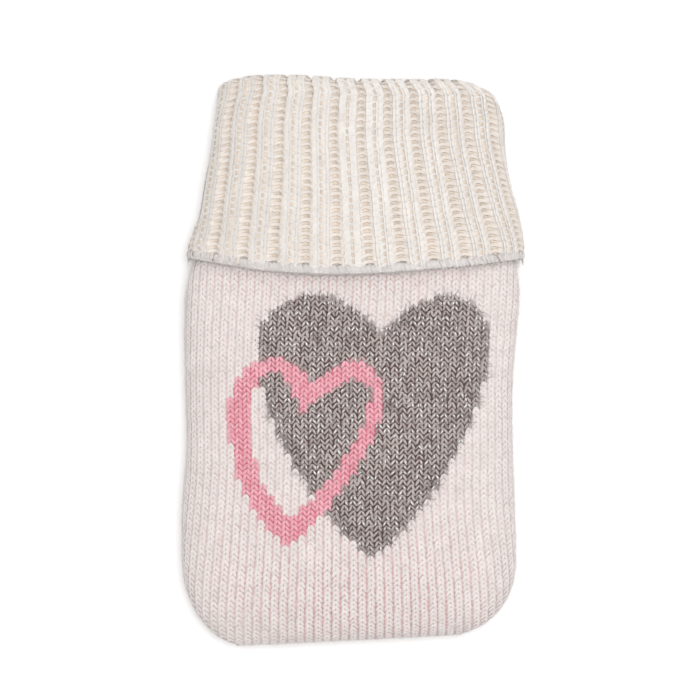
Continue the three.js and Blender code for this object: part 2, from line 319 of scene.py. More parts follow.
def panel_lattice(start_along, is_front):
    """Middle of every stitch of a panel, with the directions across, down the wale and out of the cloth.
    Each course is a finely sampled line over the panel; the wales are read off it by length along it. The
    last wale at either rim takes what width is left over, so that the cloth is covered up to the seam."""
    along, turn = course_places(start_along, is_front)
    across = np.cos(np.linspace(np.pi, 0.0, ACROSS_SAMPLES))
    lines = panel_skin(along[:, None], turn[:, None], across[None, :], 0.0, is_front)
    steps = np.linalg.norm(np.diff(lines, axis=1), axis=2)
    run = np.concatenate([np.zeros((len(lines), 1)), np.cumsum(steps, axis=1)], axis=1)
    run = run - run[:, MIDDLE_SAMPLE, None]
    footward = np.clip((WALES_SPREAD_FROM - lines[:, MIDDLE_SAMPLE, 1]) / WALES_SPREAD_OVER, 0.0, 1.0)
    pitch = WALE_PITCH + (WALE_PITCH_AT_FOOT - WALE_PITCH) * footward * footward * (3 - 2 * footward)
    wales = np.arange(-WALES_EACH_SIDE, WALES_EACH_SIDE) + 0.5
    wanted = wales[None, :] * pitch[:, None]
    rim = np.where(wales < 0, -run[:, :1], run[:, -1:])
    left_over = rim - (np.abs(wanted) - pitch[:, None] / 2)
    filling = (left_over > 0) & (left_over < RIM_MARGIN + pitch[:, None] / 2)
    wanted = np.where(filling, np.sign(wanted) * (rim - left_over / 2), wanted)

    def read(at):
        """Points of every course's line at distances along it, a row of distances to a course."""
        rows = [
            np.stack([np.interp(at[i], run[i], lines[i, :, k]) for k in range(3)], axis=-1)
            for i in range(len(lines))
        ]
        return np.stack(rows)

    middle = read(wanted)
    sideways = unit(read(wanted + SIDEWAYS_STEP) - read(wanted - SIDEWAYS_STEP))
    down = np.gradient(middle, axis=0)
    down = unit(down - (down * sideways).sum(-1, keepdims=True) * sideways)
    out = np.cross(down, sideways) if is_front else np.cross(sideways, down)
    inside = left_over > RIM_WALE_LEAST / 3
    pitches = np.where(filling, np.maximum(left_over, RIM_WALE_LEAST), pitch[:, None])
    return {
        "middle": middle[inside],
        "sideways": sideways[inside],
        "down": down[inside],
        "out": out[inside],
        "wale": pitches[inside],
        "course": np.full(inside.sum(), COURSE_PITCH),
    }


front_lattice = panel_lattice(STITCHES_FROM, True)
back_lattice = panel_lattice(STITCHES_FROM, False)
print("stitches on the front", len(front_lattice["middle"]), "and on the back", len(back_lattice["middle"]))
print("front normals point up:", bool(front_lattice["out"][:, 2].mean() > 0))

# %% [markdown]
# The motif is two plain hearts, one filled and one an outline over it. A heart is drawn by formula from a
# few sizes: four quarter ovals make its two lobes and the notch between them, and below the shoulders each
# side closes in on the tip along one smooth curve. The knitting turns the curves into steps, because each
# stitch takes its yarn from whichever shape its middle lies in.

# %% Hearts
GREY_HEART = {
    "left": (-27.0, 4.5), "left_fullness": (1.7, 0.85), "left_top": (-9.3, 18.5),
    "right": (38.2, 4.5), "right_fullness": (1.6, 0.85), "right_top": (26.0, 18.5),
    "notch": (8.0, 5.9), "notch_bend": 1.5, "tip": (5.4, -54.6),
}
PINK_HEART = {
    "left": (-34.4, -13.0), "left_fullness": (2.4, 0.8), "left_top": (-21.5, 0.9),
    "right": (8.7, -11.0), "right_fullness": (1.45, 0.86), "right_top": (0.5, 0.4),
    "notch": (-10.4, -7.6), "notch_bend": 1.5, "tip": (-17.9, -51.2),
}
PINK_INSIDE = {
    "left": (-28.3, -14.0), "left_fullness": (2.8, 0.95), "left_top": (-21.5, -2.2),
    "right": (4.9, -9.5), "right_fullness": (1.5, 0.85), "right_top": (0.0, -5.0),
    "notch": (-14.2, -15.2), "notch_bend": 1.25, "tip": (-17.9, -43.5),
}


IVORY, GREY, PINK = range(3)


def quarter(at, top, end, bend=2.0):
    """Height of a quarter oval over a place: (1 - part^bend)^(1/bend) of the way from its end's level to
    its top's, where part runs from 0 at the top to 1 at the end."""
    part = np.clip((at - top[0]) / (end[0] - top[0]), 0.0, 1.0)
    return end[1] + (top[1] - end[1]) * (1 - part**bend) ** (1 / bend)


def side_edge(y, side, fullness, tip):
    """Place of a heart's side at a height: (1 - fall^a)^b of the way from the tip's place to the
    shoulder's, where fall runs from 0 at the shoulder to 1 at the tip."""
    fall = np.clip((side[1] - y) / (side[1] - tip[1]), 0.0, 1.0)
    return tip[0] + (side[0] - tip[0]) * (1 - fall ** fullness[0]) ** fullness[1]


def in_heart(x, y, heart):
    """True inside a heart: below its upper edge and between its two sides."""
    bend = heart["notch_bend"]
    left_lobe = np.where(
        x < heart["left_top"][0],
        quarter(x, heart["left_top"], heart["left"]),
        quarter(x, heart["left_top"], heart["notch"], bend),
    )
    right_lobe = np.where(
        x < heart["right_top"][0],
        quarter(x, heart["right_top"], heart["notch"], bend),
        quarter(x, heart["right_top"], heart["right"]),
    )
    upper_edge = np.where(x < heart["notch"][0], left_lobe, right_lobe)
    left_edge = side_edge(y, heart["left"], heart["left_fullness"], heart["tip"])
    right_edge = side_edge(y, heart["right"], heart["right_fullness"], heart["tip"])
    return (y < upper_edge) & (x > left_edge) & (x < right_edge)


def yarn_at(x, y):
    """Which yarn shows at a place on the front."""
    grey = in_heart(x, y, GREY_HEART)
    pink = in_heart(x, y, PINK_HEART) & ~in_heart(x, y, PINK_INSIDE)
    return np.where(pink, PINK, np.where(grey, GREY, IVORY))


front_yarn = yarn_at(front_lattice["middle"][:, 0], front_lattice["middle"][:, 1])
print("ivory, grey and pink stitches", [int((front_yarn == k).sum()) for k in (IVORY, GREY, PINK)])

# %% [markdown]
# A knit stitch shows two legs of yarn that lean together towards the neck, like a roof. Each leg is plump in
# the middle and goes under its neighbours at both ends. All the strands of a piece are made at once: a path
# of a few points for each, with a ring of points round every place on the path and a tip at either end. A
# stitch's ring has four points, two for its upper side and two for its lower side. On the cuff the lower two
# lie further out, which closes the grooves between the strands. A loose fibre's ring has three.

# %% Strands of yarn as arrays
rng = np.random.default_rng(4)
FLAT_TOP = np.radians([38.0, 142.0, 218.0, 322.0])
STEEP_SIDES = np.radians([50.0, 130.0, 200.0, 340.0])
HAIR = np.radians([90.0, 210.0, 330.0])


def strands(paths, half_wide, half_thick, out, angles=FLAT_TOP):
    """Closed strands. paths is (strands, places, 3): the first and last places are the tips, and round
    each place between them runs a ring: centre + wide * cos(a) * beside + thick * sin(a) * out, for the
    angles a. out is given for each strand or for each of its places. Returns the points, the triangles,
    for each triangle corner its place along and around the strand (0 around is the crest), and for each
    point the direction away from the cloth."""
    count, places = paths.shape[:2]
    rings, sides = places - 2, len(angles)
    along = unit(np.gradient(paths, axis=1))
    beside = unit(np.cross(along, out if out.ndim == 3 else out[:, None, :]))
    upward = np.cross(beside, along)
    inner = slice(1, -1)
    centre = paths[:, inner, None, :]
    wide = half_wide[:, inner, None, None] * np.cos(angles)[:, None]
    thick = half_thick[:, inner, None, None] * np.sin(angles)[:, None]
    ring_points = centre + wide * beside[:, inner, None, :] + thick * upward[:, inner, None, :]
    points = np.concatenate(
        [paths[:, :1], ring_points.reshape(count, rings * sides, 3), paths[:, -1:]], axis=1
    )
    side = np.arange(sides)
    beyond = (side + 1) % sides
    first_cap = np.stack([np.zeros(sides, int), 1 + side, 1 + beyond], axis=1)
    last_tip = 1 + rings * sides
    last_ring = 1 + (rings - 1) * sides
    last_cap = np.stack([np.full(sides, last_tip), last_ring + beyond, last_ring + side], axis=1)
    ring = 1 + np.arange(rings - 1)[:, None] * sides
    a, b = ring + side, ring + beyond
    c, d = b + sides, a + sides
    walls = np.concatenate([np.stack(half, axis=-1).reshape(-1, 3) for half in ((a, c, b), (a, d, c))])
    faces = np.concatenate([first_cap, walls, last_cap])
    ring_of = np.concatenate([[0.0], np.repeat(np.arange(1, rings + 1), sides), [rings + 1.0]])
    ring_of = ring_of / (rings + 1)
    turned = (angles / (2 * np.pi) - 0.25) % 1.0
    side_of = np.concatenate([[0.5], np.tile(turned, rings), [0.5]])
    around = side_of[faces]
    wraps = (around.max(axis=1) - around.min(axis=1)) > 0.5
    around = np.where(wraps[:, None] & (around < 0.5), around + 1.0, around)
    corner_uv = np.stack([ring_of[faces], around], axis=-1).reshape(-1, 2)
    triangles = (faces[None] + (np.arange(count) * points.shape[1])[:, None, None]).reshape(-1, 3)
    on_rings = np.repeat(upward[:, inner], sides, axis=1)
    away = np.concatenate([upward[:, :1], on_rings, upward[:, -1:]], axis=1)
    return points.reshape(-1, 3), triangles, np.tile(corner_uv, (count, 1)), away.reshape(-1, 3)


# For one, three or four numbers to a point: the kind of attribute, and the field that takes them
VALUE_KINDS = {1: ("FLOAT", "value"), 3: ("FLOAT_VECTOR", "vector"), 4: ("FLOAT_COLOR", "color")}


def mesh_piece(name, points_mm, faces, corner_uv=None, point_values=None):
    """A smooth mesh object from arrays, in metres, with a UV map and named values on its points."""
    mesh = bpy.data.meshes.new(name)
    mesh.vertices.add(len(points_mm))
    mesh.vertices.foreach_set("co", (points_mm * MM).astype(np.float32).ravel())
    mesh.loops.add(faces.size)
    mesh.loops.foreach_set("vertex_index", faces.astype(np.int32).ravel())
    mesh.polygons.add(len(faces))
    mesh.polygons.foreach_set("loop_start", np.arange(0, faces.size, faces.shape[1], dtype=np.int32))
    mesh.polygons.foreach_set("use_smooth", np.ones(len(faces), dtype=bool))
    if corner_uv is not None:
        layer = mesh.uv_layers.new(name="strand")
        layer.data.foreach_set("uv", corner_uv.astype(np.float32).ravel())
    for value_name, values in (point_values or {}).items():
        kind, field = VALUE_KINDS[values.size // len(values)]
        attribute = mesh.attributes.new(value_name, kind, "POINT")
        attribute.data.foreach_set(field, values.astype(np.float32).ravel())
    mesh.update(calc_edges=True)
    mesh.validate()
    piece = bpy.data.objects.new(name, mesh)
    bpy.context.scene.collection.objects.link(piece)
    return piece


stitch_pieces = {}


def strand_piece(name, lots):
    """Makes one piece from lots of strands, each given as points, triangles, UV corners and values."""
    starts = np.cumsum([0] + [len(lot[0]) for lot in lots[:-1]])
    points, corner_uv = (np.concatenate([lot[k] for lot in lots]) for k in (0, 2))
    triangles = np.concatenate([lot[1] + start for lot, start in zip(lots, starts)])
    values = {key: np.concatenate([lot[3][key] for lot in lots]) for key in ("tone", "away")}
    stitch_pieces[name] = mesh_piece(name, points, triangles, corner_uv, values)
    print(name, "has", len(triangles), "triangles")
    return stitch_pieces[name]


print("strand rings, in degrees", np.degrees(FLAT_TOP).round(), np.degrees(STEEP_SIDES).round())

# %% [markdown]
# A leg's path is given in the stitch's own directions: how far to the side in wale pitches, how far down in
# course pitches, and how high in millimetres. The end at the top of the roof lies over the stitch above, and
# the spread end dips under the one below. Every stitch is nudged, turned and sized a little at random. The
# ivory stitches of the front make two pieces, an upper and a lower one, to keep each of them small.

# %% Knit stitches
LEG_STATIONS = np.array([-1.0, -0.8, -0.3, 0.3, 0.8, 1.0])
BACK_STATIONS = np.array([-1.0, -0.72, 0.0, 0.72, 1.0])
BOTH_SIDES = (-1.0, 1.0)
TWIST_SHARE = 0.5
SLIP_SHARE = 0.35
UPPER_FROM = -22.0


def picked(lattice, choice):
    """The part of a lattice that a choice of its stitches keeps."""
    return {name: values[choice] for name, values in lattice.items()}


def knit_legs(lattice, gauge, draws, stations=LEG_STATIONS, legs=BOTH_SIDES):
    """Two legs for each stitch. For s from -1 at the top to 1 at the spread end, a leg lies at
    side * (near + (far - near) * (s + 1) / 2) wales to the side, reach * s courses down, and
    lift + arch * (1 - s^2) - dip * s above the skin. It swells by (1 - |s|^bluntness)^(1/2). Returns the
    points, the triangles, their UV corners, and for each point a tone and the direction away."""
    count = len(lattice["middle"])
    swell = np.sqrt(1 - np.abs(stations) ** gauge["bluntness"])
    s = stations[None, None, :]
    side = np.array(legs)[None, :, None]
    size = 1 + gauge["uneven"] * draws.standard_normal((count, len(legs), 1))
    twist = gauge["uneven"] * TWIST_SHARE * draws.standard_normal((count, 1, 1))
    slip = gauge["uneven"] * SLIP_SHARE * draws.standard_normal((count, 1, 2))
    to_side = side * (gauge["near"] + (gauge["far"] - gauge["near"]) * (s + 1) / 2)
    to_side = to_side + twist * s + slip[..., :1]
    to_foot = gauge["reach"] * s * size + side * twist * 0.5 + slip[..., 1:]
    height = gauge["lift"] + gauge["arch"] * (1 - s**2) - gauge["dip"] * s
    wale = lattice["wale"][:, None, None]
    course = lattice["course"][:, None, None]
    moved = [
        (to_side * wale)[..., None] * lattice["sideways"][:, None, None, :],
        (to_foot * course)[..., None] * lattice["down"][:, None, None, :],
        np.broadcast_to(height, to_foot.shape)[..., None] * lattice["out"][:, None, None, :],
    ]
    paths = lattice["middle"][:, None, None, :] + sum(moved)
    total = count * len(legs)
    paths = paths.reshape(total, len(stations), 3)
    half_wide = gauge["half_wide"] * swell[None, :] * size.reshape(-1, 1)
    half_thick = gauge["half_thick"] * swell[None, :] * np.ones((total, 1))
    out = np.repeat(lattice["out"], len(legs), axis=0)
    points, triangles, corner_uv, away = strands(paths, half_wide, half_thick, out)
    tone = np.repeat(draws.random(total), len(points) // total)
    return points, triangles, corner_uv, {"tone": tone, "away": away}


IVORY_GAUGE = {
    "near": 0.02, "far": 0.40, "reach": 0.71, "lift": -0.18, "arch": 0.05, "dip": 0.06,
    "half_wide": 0.54, "half_thick": 0.17, "uneven": 0.07, "bluntness": 2.6,
}
GREY_GAUGE = {
    **IVORY_GAUGE, "far": 0.47, "reach": 0.66, "lift": -0.22, "arch": 0.09, "dip": 0.08,
    "half_wide": 0.40, "half_thick": 0.20, "uneven": 0.10,
}
PINK_GAUGE = {**GREY_GAUGE, "half_wide": 0.48, "uneven": 0.07}

upper = front_lattice["middle"][:, 1] > UPPER_FROM
front_stitches = {
    "front_ivory_upper_stitches": ((front_yarn == IVORY) & upper, IVORY_GAUGE),
    "front_ivory_lower_stitches": ((front_yarn == IVORY) & ~upper, IVORY_GAUGE),
    "front_grey_stitches": (front_yarn == GREY, GREY_GAUGE),
    "front_pink_stitches": (front_yarn == PINK, PINK_GAUGE),
}
for name, (choice, gauge) in front_stitches.items():
    strand_piece(name, [knit_legs(picked(front_lattice, choice), gauge, rng)])
strand_piece("back_stitches", [knit_legs(back_lattice, IVORY_GAUGE, rng, BACK_STATIONS)])

# %% [markdown]
# The cuff is one run of 2x1 rib that goes up the outside, over the fold and down into the mouth. A place on
# it is given by how far it has run from the hem and by its share of the way round. The ribs slant a little,
# since the fold and the hem are turned against each other. Inside, the rib comes down only part of the way to
# the hem, as far as the join with the panels. Where the cuff lies on the floor its stitches are pressed flat.

# %% Shape of the cuff
MIDDLE_RIB_AT_FOLD = -2.2
MIDDLE_RIB_AT_HEM = 0.3
TURN_RADIUS = CUFF_DEPTH / 2
CUFF_OUTSIDE = FOLD_ALONG - TURN_RADIUS - EDGE["hem"][3]
CUFF_OVER = np.pi * TURN_RADIUS
CUFF_INSIDE = FOLD_ALONG - TURN_RADIUS - JOIN_ALONG
JOIN_HEIGHT = 0.23
RING_SAMPLES = 1441
RIB_PLACES = np.array([0.0, 0.33, 0.42, 0.5, 0.58, 0.67, 1.0])
RIB_SUNK = np.array([0.0, 0.0, 0.85, 1.0, 0.85, 0.0, 0.0])


def cuff_skin(along, angle, depth):
    """Points of the cuff: the tube's section swollen by the cuff's stand-off, less depth. angle runs
    round from the right side over the front."""
    base = tube_at(along)
    section = {
        "seam": base["seam"],
        "crown": base["crown"] + CUFF_STAND,
        "under": np.maximum(base["under"] - CUFF_STAND, 0.0),
    }
    across = np.cos(angle)
    x = base["middle"] + (base["half_width"] + CUFF_STAND - depth) * across
    front = front_height(section, across, depth, 1.0)
    back = back_height(section, across, depth, 1.0)
    z = np.where(np.sin(angle) >= 0, front, back)
    return np.stack(np.broadcast_arrays(x, along, z), axis=-1)


def rib_rings(height):
    """The cuff's rings at heights between the hem (0) and the fold (1): for each the angles, the share of
    the way round at every angle, the whole length in mm, and the share where the middle rib lies."""
    angles = np.linspace(0.0, 2 * np.pi, RING_SAMPLES)
    along = np.interp(height, [0.0, 1.0], [EDGE["hem"][3], FOLD_ALONG])
    lines = cuff_skin(along[:, None], angles[None, :], 0.0)
    steps = np.linalg.norm(np.diff(lines, axis=1), axis=2)
    run = np.concatenate([np.zeros((len(lines), 1)), np.cumsum(steps, axis=1)], axis=1)
    length = run[:, -1]
    run = run / length[:, None]
    middle_rib = np.interp(height, [0.0, 1.0], [MIDDLE_RIB_AT_HEM, MIDDLE_RIB_AT_FOLD])
    base = tube_at(along)
    start_angle = np.arccos((middle_rib - base["middle"]) / (base["half_width"] + CUFF_STAND))
    start = np.array([np.interp(start_angle[i], angles, run[i]) for i in range(len(along))])
    return angles, run, length, start


def rib_angles(height, share):
    """Angles at shares of the way round, counted from the middle rib of the front. share is a row of
    values, or a grid with a row for each height; the result is a grid."""
    angles, run, _, start = rib_rings(height)
    share = np.broadcast_to(share, (len(height), share.shape[-1]))
    rows = [np.interp((start[i] + share[i]) % 1.0, run[i], angles) for i in range(len(height))]
    return np.stack(rows)


def rib_sunk(share):
    """How far the skin is sunk at a share of the way round: 0 on a rib, the rib's height in a channel."""
    return RIB_HEIGHT * np.interp((share * RIB_COUNT) % 1.0, RIB_PLACES, RIB_SUNK)


def cuff_heights(run):
    """Height on the cuff, from 0 at the hem to 1 at the fold, for distances run from the hem."""
    inward = np.maximum(run - CUFF_OUTSIDE - CUFF_OVER, 0.0) / CUFF_INSIDE
    return np.clip(np.minimum(run / CUFF_OUTSIDE, 1.0) - (1 - JOIN_HEIGHT) * inward, 0.0, 1.0)


def cuff_run(run, share, sunk):
    """Points of the rib's run as a grid of run by share: up the outside from the hem, half a turn over
    the fold, and down inside. sunk (a grid) takes points under the skin of the outside."""
    turn = np.clip((run - CUFF_OUTSIDE) / TURN_RADIUS, 0.0, np.pi)
    inward = np.maximum(run - CUFF_OUTSIDE - CUFF_OVER, 0.0)[:, None] / CUFF_INSIDE
    upward = np.minimum(run / CUFF_OUTSIDE, 1.0)
    angle = rib_angles(cuff_heights(run), share)
    across = np.cos(angle)
    hem = smooth_through(EDGE["across"], EDGE["hem"], across)
    fold = FOLD_ALONG - TURN_RADIUS - smooth_through(EDGE["across"], EDGE["short"], across)
    reach = TURN_RADIUS - sunk
    along = hem + (fold - hem) * upward[:, None] + reach * np.sin(turn)[:, None]
    along = along - inward * (fold - JOIN_ALONG - SEAM_GAP)
    depth = TURN_RADIUS - reach * np.cos(turn)[:, None]
    return cuff_skin(along, angle, depth)


print("cuff runs", round(CUFF_OUTSIDE, 1), "mm up and", round(CUFF_OVER, 1), "mm over the fold")

# %% [markdown]
# In 2x1 rib two wales of knit stitches stand up as a rib, and the third wale shows the back of the stitches:
# a ladder of small arches, sunk in the channel. Where the two knit wales meet, the slack of the yarn leaves
# a row of small holes down the middle of the rib, with a thin strand across between each hole and the next.
# So the legs beside the rib's middle bow outwards, and those at its edges are wider and reach the channel.

# %% Rib stitches
CUFF_COURSE = 1.94
INSIDE_COURSES = 9
KNIT_WALE_WIDTH = 2.5
FIRST_COURSE = 1.5
HOLE_LEG = {
    "near": 0.46, "spread": 0.18, "reach": 0.66, "lift": -0.14, "arch": 0.04, "dip": 0.04,
    "half_wide": 0.70, "half_thick": 0.11, "uneven": 0.045, "bluntness": 3.6, "ring": STEEP_SIDES,
}
OUTER_LEG = {**HOLE_LEG, "near": 0.40, "spread": 0.10, "half_wide": 0.86}
PURL_ARCH = {
    "overlap": 0.45, "rise": 0.62, "lift": -0.14, "dip": 0.16, "half_wide": 0.62, "half_thick": 0.17,
    "uneven": 0.05, "bluntness": 5.0, "ring": STEEP_SIDES,
}
BRIDGE = {
    "reach": 0.70, "rise": 0.10, "lift": -0.14, "dip": 0.06, "half_wide": 0.40, "half_thick": 0.11,
    "uneven": 0.06, "bluntness": 4.0, "ring": STEEP_SIDES,
}
HOLE_BOW = 0.33
HOLE_BOW_FALL = 1.7
PRESSED_FLAT = 0.01
PROBE = 0.1
ARCH_STATIONS = np.array([-1.0, -0.84, -0.5, 0.0, 0.5, 0.84, 1.0])
BRIDGE_STATIONS = np.array([-1.0, -0.6, 0.0, 0.6, 1.0])

cuff_courses = int((CUFF_OUTSIDE + CUFF_OVER) / CUFF_COURSE) + INSIDE_COURSES
cuff_runs = FIRST_COURSE + CUFF_COURSE * np.arange(cuff_courses)
_, _, ring_lengths, _ = rib_rings(cuff_heights(cuff_runs))
REPEATS = ring_lengths / RIB_COUNT
print("rib repeat in mm at the hem", round(REPEATS[0], 2), "and at the fold", round(REPEATS.min(), 2))


def cuff_strands(runs, repeats, wales, to_side, to_hem, height, gauge, relief=1.0, centre=None):
    """Strands that follow the cuff's skin. runs are the places of the courses and wales the places of the
    wales in a repeat, as a grid of shares, a row to a course. A strand's stations lie to_side mm to the
    right (a number or a grid for each), to_hem mm towards the hem and height mm over the skin. relief is
    how much of the rib's own shape they follow. Their upper side faces away from the skin, or away from a
    centre given by its run and depth."""
    rib = np.arange(RIB_COUNT)[None, :, None]
    share = ((rib + wales[:, None, :]) / RIB_COUNT).reshape(len(runs), -1)
    per_mm = 1 / (repeats[:, None] * RIB_COUNT)
    nudge = gauge["uneven"] * rng.standard_normal(share.shape)
    size = 1 + gauge["uneven"] * rng.standard_normal(share.size)
    path, above = [], []
    for side, down, level in zip(to_side, to_hem, height):
        place = share - (side + nudge) * per_mm
        sunk = relief * rib_sunk(place) - level
        path.append(cuff_run(runs - down, place, sunk))
        if centre is None:
            above.append(cuff_run(runs - down, place, sunk - PROBE) - path[-1])
        else:
            core = cuff_run(runs + centre[0], place, relief * rib_sunk(place) + centre[1])
            above.append(path[-1] - core)
    path = np.stack(path, axis=2).reshape(share.size, len(height), 3)
    out = unit(np.stack(above, axis=2).reshape(path.shape))
    slip = gauge["uneven"] * rng.standard_normal((share.size, 1, 1))
    path = path + slip * unit(path[:, -1:] - path[:, :1])
    part = np.linspace(-1.0, 1.0, len(height))
    swell = np.sqrt(1 - np.abs(part) ** gauge["bluntness"])
    half_wide = gauge["half_wide"] * swell * size[:, None]
    half_thick = gauge["half_thick"] * swell * np.ones((share.size, 1))
    points, triangles, corner_uv, away = strands(path, half_wide, half_thick, out, gauge["ring"])
    points[:, 2] = np.maximum(points[:, 2], PRESSED_FLAT)
    tone = np.repeat(rng.random(share.size), len(points) // share.size)
    return points, triangles, corner_uv, {"tone": tone, "away": away}


def rib_legs(wale_side, leg_side):
    """One leg of every stitch in one of a rib's two knit wales. For s from -1 at the top to 1 at the
    spread end it lies leg_side * (near + spread * (s + 1) / 2) mm beside the wale's middle. The legs next
    to the rib's middle bow away from it by HOLE_BOW * (1 - HOLE_BOW_FALL * s^2), but not less than 0, which
    leaves a row of holes."""
    s = LEG_STATIONS
    gauge = OUTER_LEG if wale_side == leg_side else HOLE_LEG
    to_side = leg_side * (gauge["near"] + gauge["spread"] * (s + 1) / 2)
    if gauge is HOLE_LEG:
        to_side = to_side + wale_side * HOLE_BOW * np.clip(1 - HOLE_BOW_FALL * s**2, 0.0, 1.0)
    height = gauge["lift"] + gauge["arch"] * (1 - s**2) - gauge["dip"] * s
    to_hem = gauge["reach"] * CUFF_COURSE * s
    wales = -wale_side * KNIT_WALE_WIDTH / 2 / REPEATS[:, None]
    return cuff_strands(cuff_runs, REPEATS, wales, to_side, to_hem, height, gauge)


def purl_arches():
    """The arches in the channels. For s from -1 to 1 an arch lies s * (channel / 2 + overlap) mm to the side,
    (0.5 - rise * (1 - s^2)) courses down and lift - dip * s^4 above the skin."""
    s = ARCH_STATIONS
    channels = (REPEATS - 2 * KNIT_WALE_WIDTH)[:, None]
    to_side = [part * (channels / 2 + PURL_ARCH["overlap"]) for part in s]
    to_hem = (0.5 - PURL_ARCH["rise"] * (1 - s**2)) * CUFF_COURSE
    height = PURL_ARCH["lift"] - PURL_ARCH["dip"] * s**4
    channel_middle = np.full((len(cuff_runs), 1), 0.5)
    return cuff_strands(cuff_runs, REPEATS, channel_middle, to_side, to_hem, height, PURL_ARCH)


def bridge_strands():
    """The thin strands across a rib's middle. For s from -1 to 1 a strand lies reach * s mm to the side,
    (0.5 - rise * (1 - s^2)) courses down and lift - dip * s^2 above the skin."""
    s = BRIDGE_STATIONS
    to_hem = (0.5 - BRIDGE["rise"] * (1 - s**2)) * CUFF_COURSE
    height = BRIDGE["lift"] - BRIDGE["dip"] * s**2
    rib_middle = np.zeros((len(cuff_runs), 1))
    return cuff_strands(cuff_runs, REPEATS, rib_middle, BRIDGE["reach"] * s, to_hem, height, BRIDGE)


strand_piece("cuff_knit_stitches", [rib_legs(wale, leg) for wale in BOTH_SIDES for leg in BOTH_SIDES])
strand_piece("cuff_purl_stitches", [purl_arches()])
strand_piece("cuff_bridge_strands", [bridge_strands()])

# %% [markdown]
# The hem is cast off: the last loops are drawn over one another into a thick soft roll round the edge. Each
# of its strands starts on the outside, goes round the edge and ends inside. It hardly follows the ribs.

# %% Hem roll
HEM_STRANDS_IN_A_RIB = 9
HEM_STRAND = {"half_wide": 1.10, "half_thick": 0.20, "uneven": 0.16, "bluntness": 4.0, "ring": FLAT_TOP}
HEM_RELIEF = 0.35
HEM_SLANT = 0.9
HEM_CENTRE = (1.5, 1.15)
HEM_RUN = np.array([3.0, 2.2, 1.2, 0.45, 0.2, 0.6, 1.6])
HEM_HEIGHT = np.array([-0.45, -0.18, 0.0, -0.32, -1.00, -1.80, -2.20])

hem_wales = (np.arange(HEM_STRANDS_IN_A_RIB) / HEM_STRANDS_IN_A_RIB)[None, :]
hem_side = HEM_SLANT * np.linspace(-1.0, 1.0, len(HEM_RUN))
hem_start = np.zeros(1)
hem_roll = cuff_strands(
    hem_start, REPEATS[:1], hem_wales, hem_side, -HEM_RUN, HEM_HEIGHT, HEM_STRAND, HEM_RELIEF, HEM_CENTRE
)
strand_piece("cuff_hem_roll", [hem_roll])

# %% [markdown]
# Under the stitches lies the cloth itself, as a thin closed sheet: its outer skin is a little under the
# stitches, and its colour is what shows between them. On this knitting that is rose between the wales of the
# front and cream where the cloth is pulled open at the left. Under the pink yarn it is dark pink, the pink
# with painted shade, and under the grey it is nearly black, which is painted shade. In the cuff it is beige
# in the channels and in the holes down each rib: the cream cloth with painted shade. The rose and the cream
# come and go in soft round patches, each with its strength, middle and reach.

# %% Sheets of cloth under the stitches
SHEET_SUNK = 0.26
CUFF_SHEET_SUNK = 0.19
CUFF_SHEET_INNER = CUFF_CLOTH - 0.2
CUFF_SHEET_FROM = 0.5
PANEL_ROWS, FOOT_ROWS, PANEL_COLUMNS = 62, 20, 85
OUTSIDE_ROWS, OVER_ROWS, INSIDE_ROWS = 26, 10, 14
SIDE_FADE = 14
FOOT_FADE = 5
GAP_PALE = (0.66, 0.585, 0.565)
GAP_ROSE = (0.56, 0.31, 0.32)
GAP_CREAM = (0.66, 0.58, 0.51)
# Painted shade: the gaps under the grey yarn are nearly black, and those under the pink yarn are the pink in
# shade.
GAP_GREY_SHADE = (0.10, 0.065, 0.063)
GAP_PINK_AND_SHADE = (0.58, 0.17, 0.22)
# Painted shade: beige is the cream cloth in the shade of the cuff's channels and holes.
GAP_BEIGE_SHADE = (0.65, 0.55, 0.45)
RIB_PALE = (0.72, 0.67, 0.63)
ROSE_GROUND = 0.26
ROSE_PATCHES = [(0.56, (2, -70), (44, 24)), (0.40, (2, 25), (38, 5)), (-0.35, (44, 0), (14, 45))]
CREAM_PATCHES = [(1.0, (-48, -30), (7, 60)), (1.0, (-36, -78), (15, 8))]
BEIGE_SHADE_PLACES = [0.0, 0.10, 0.20, 0.40, 0.46, 0.5]
BEIGE_SHADE_SHARES = [1.0, 0.6, 0.0, 0.0, 1.0, 1.0]
SHEET_PLACES = np.array([0.0, 0.06, 0.16, 0.33, 0.42, 0.5, 0.58, 0.67, 0.84, 0.94])


def mixed(first, second, share):
    """first * (1 - share) + second * share, for colours."""
    return np.asarray(first) * (1 - share[..., None]) + np.asarray(second) * share[..., None]


def patches_at(x, y, patches):
    """Soft round patches: the sum of strength * exp(-((x - mx) / rx)^2 - ((y - my) / ry)^2)."""
    return sum(
        strength * np.exp(-(((x - mx) / rx) ** 2) - ((y - my) / ry) ** 2)
        for strength, (mx, my), (rx, ry) in patches
    )


def gap_colours(points, is_front):
    """Colour of the gaps at points of a panel: rose in the middle and towards the foot and the cuff,
    pale at the right, cream at the left edge and the lower left corner."""
    x, y = points[..., 0], points[..., 1]
    rose = np.clip(ROSE_GROUND + patches_at(x, y, ROSE_PATCHES), 0.0, 1.0)
    cream = np.clip(patches_at(x, y, CREAM_PATCHES), 0.0, 1.0)
    colours = mixed(mixed(GAP_PALE, GAP_ROSE, rose), GAP_CREAM, cream)
    if is_front:
        yarn = yarn_at(x, y)[..., None]
        # Painted shade in the gaps under the grey and the pink yarn.
        colours = np.where(yarn == GREY, GAP_GREY_SHADE, np.where(yarn == PINK, GAP_PINK_AND_SHADE, colours))
    return colours


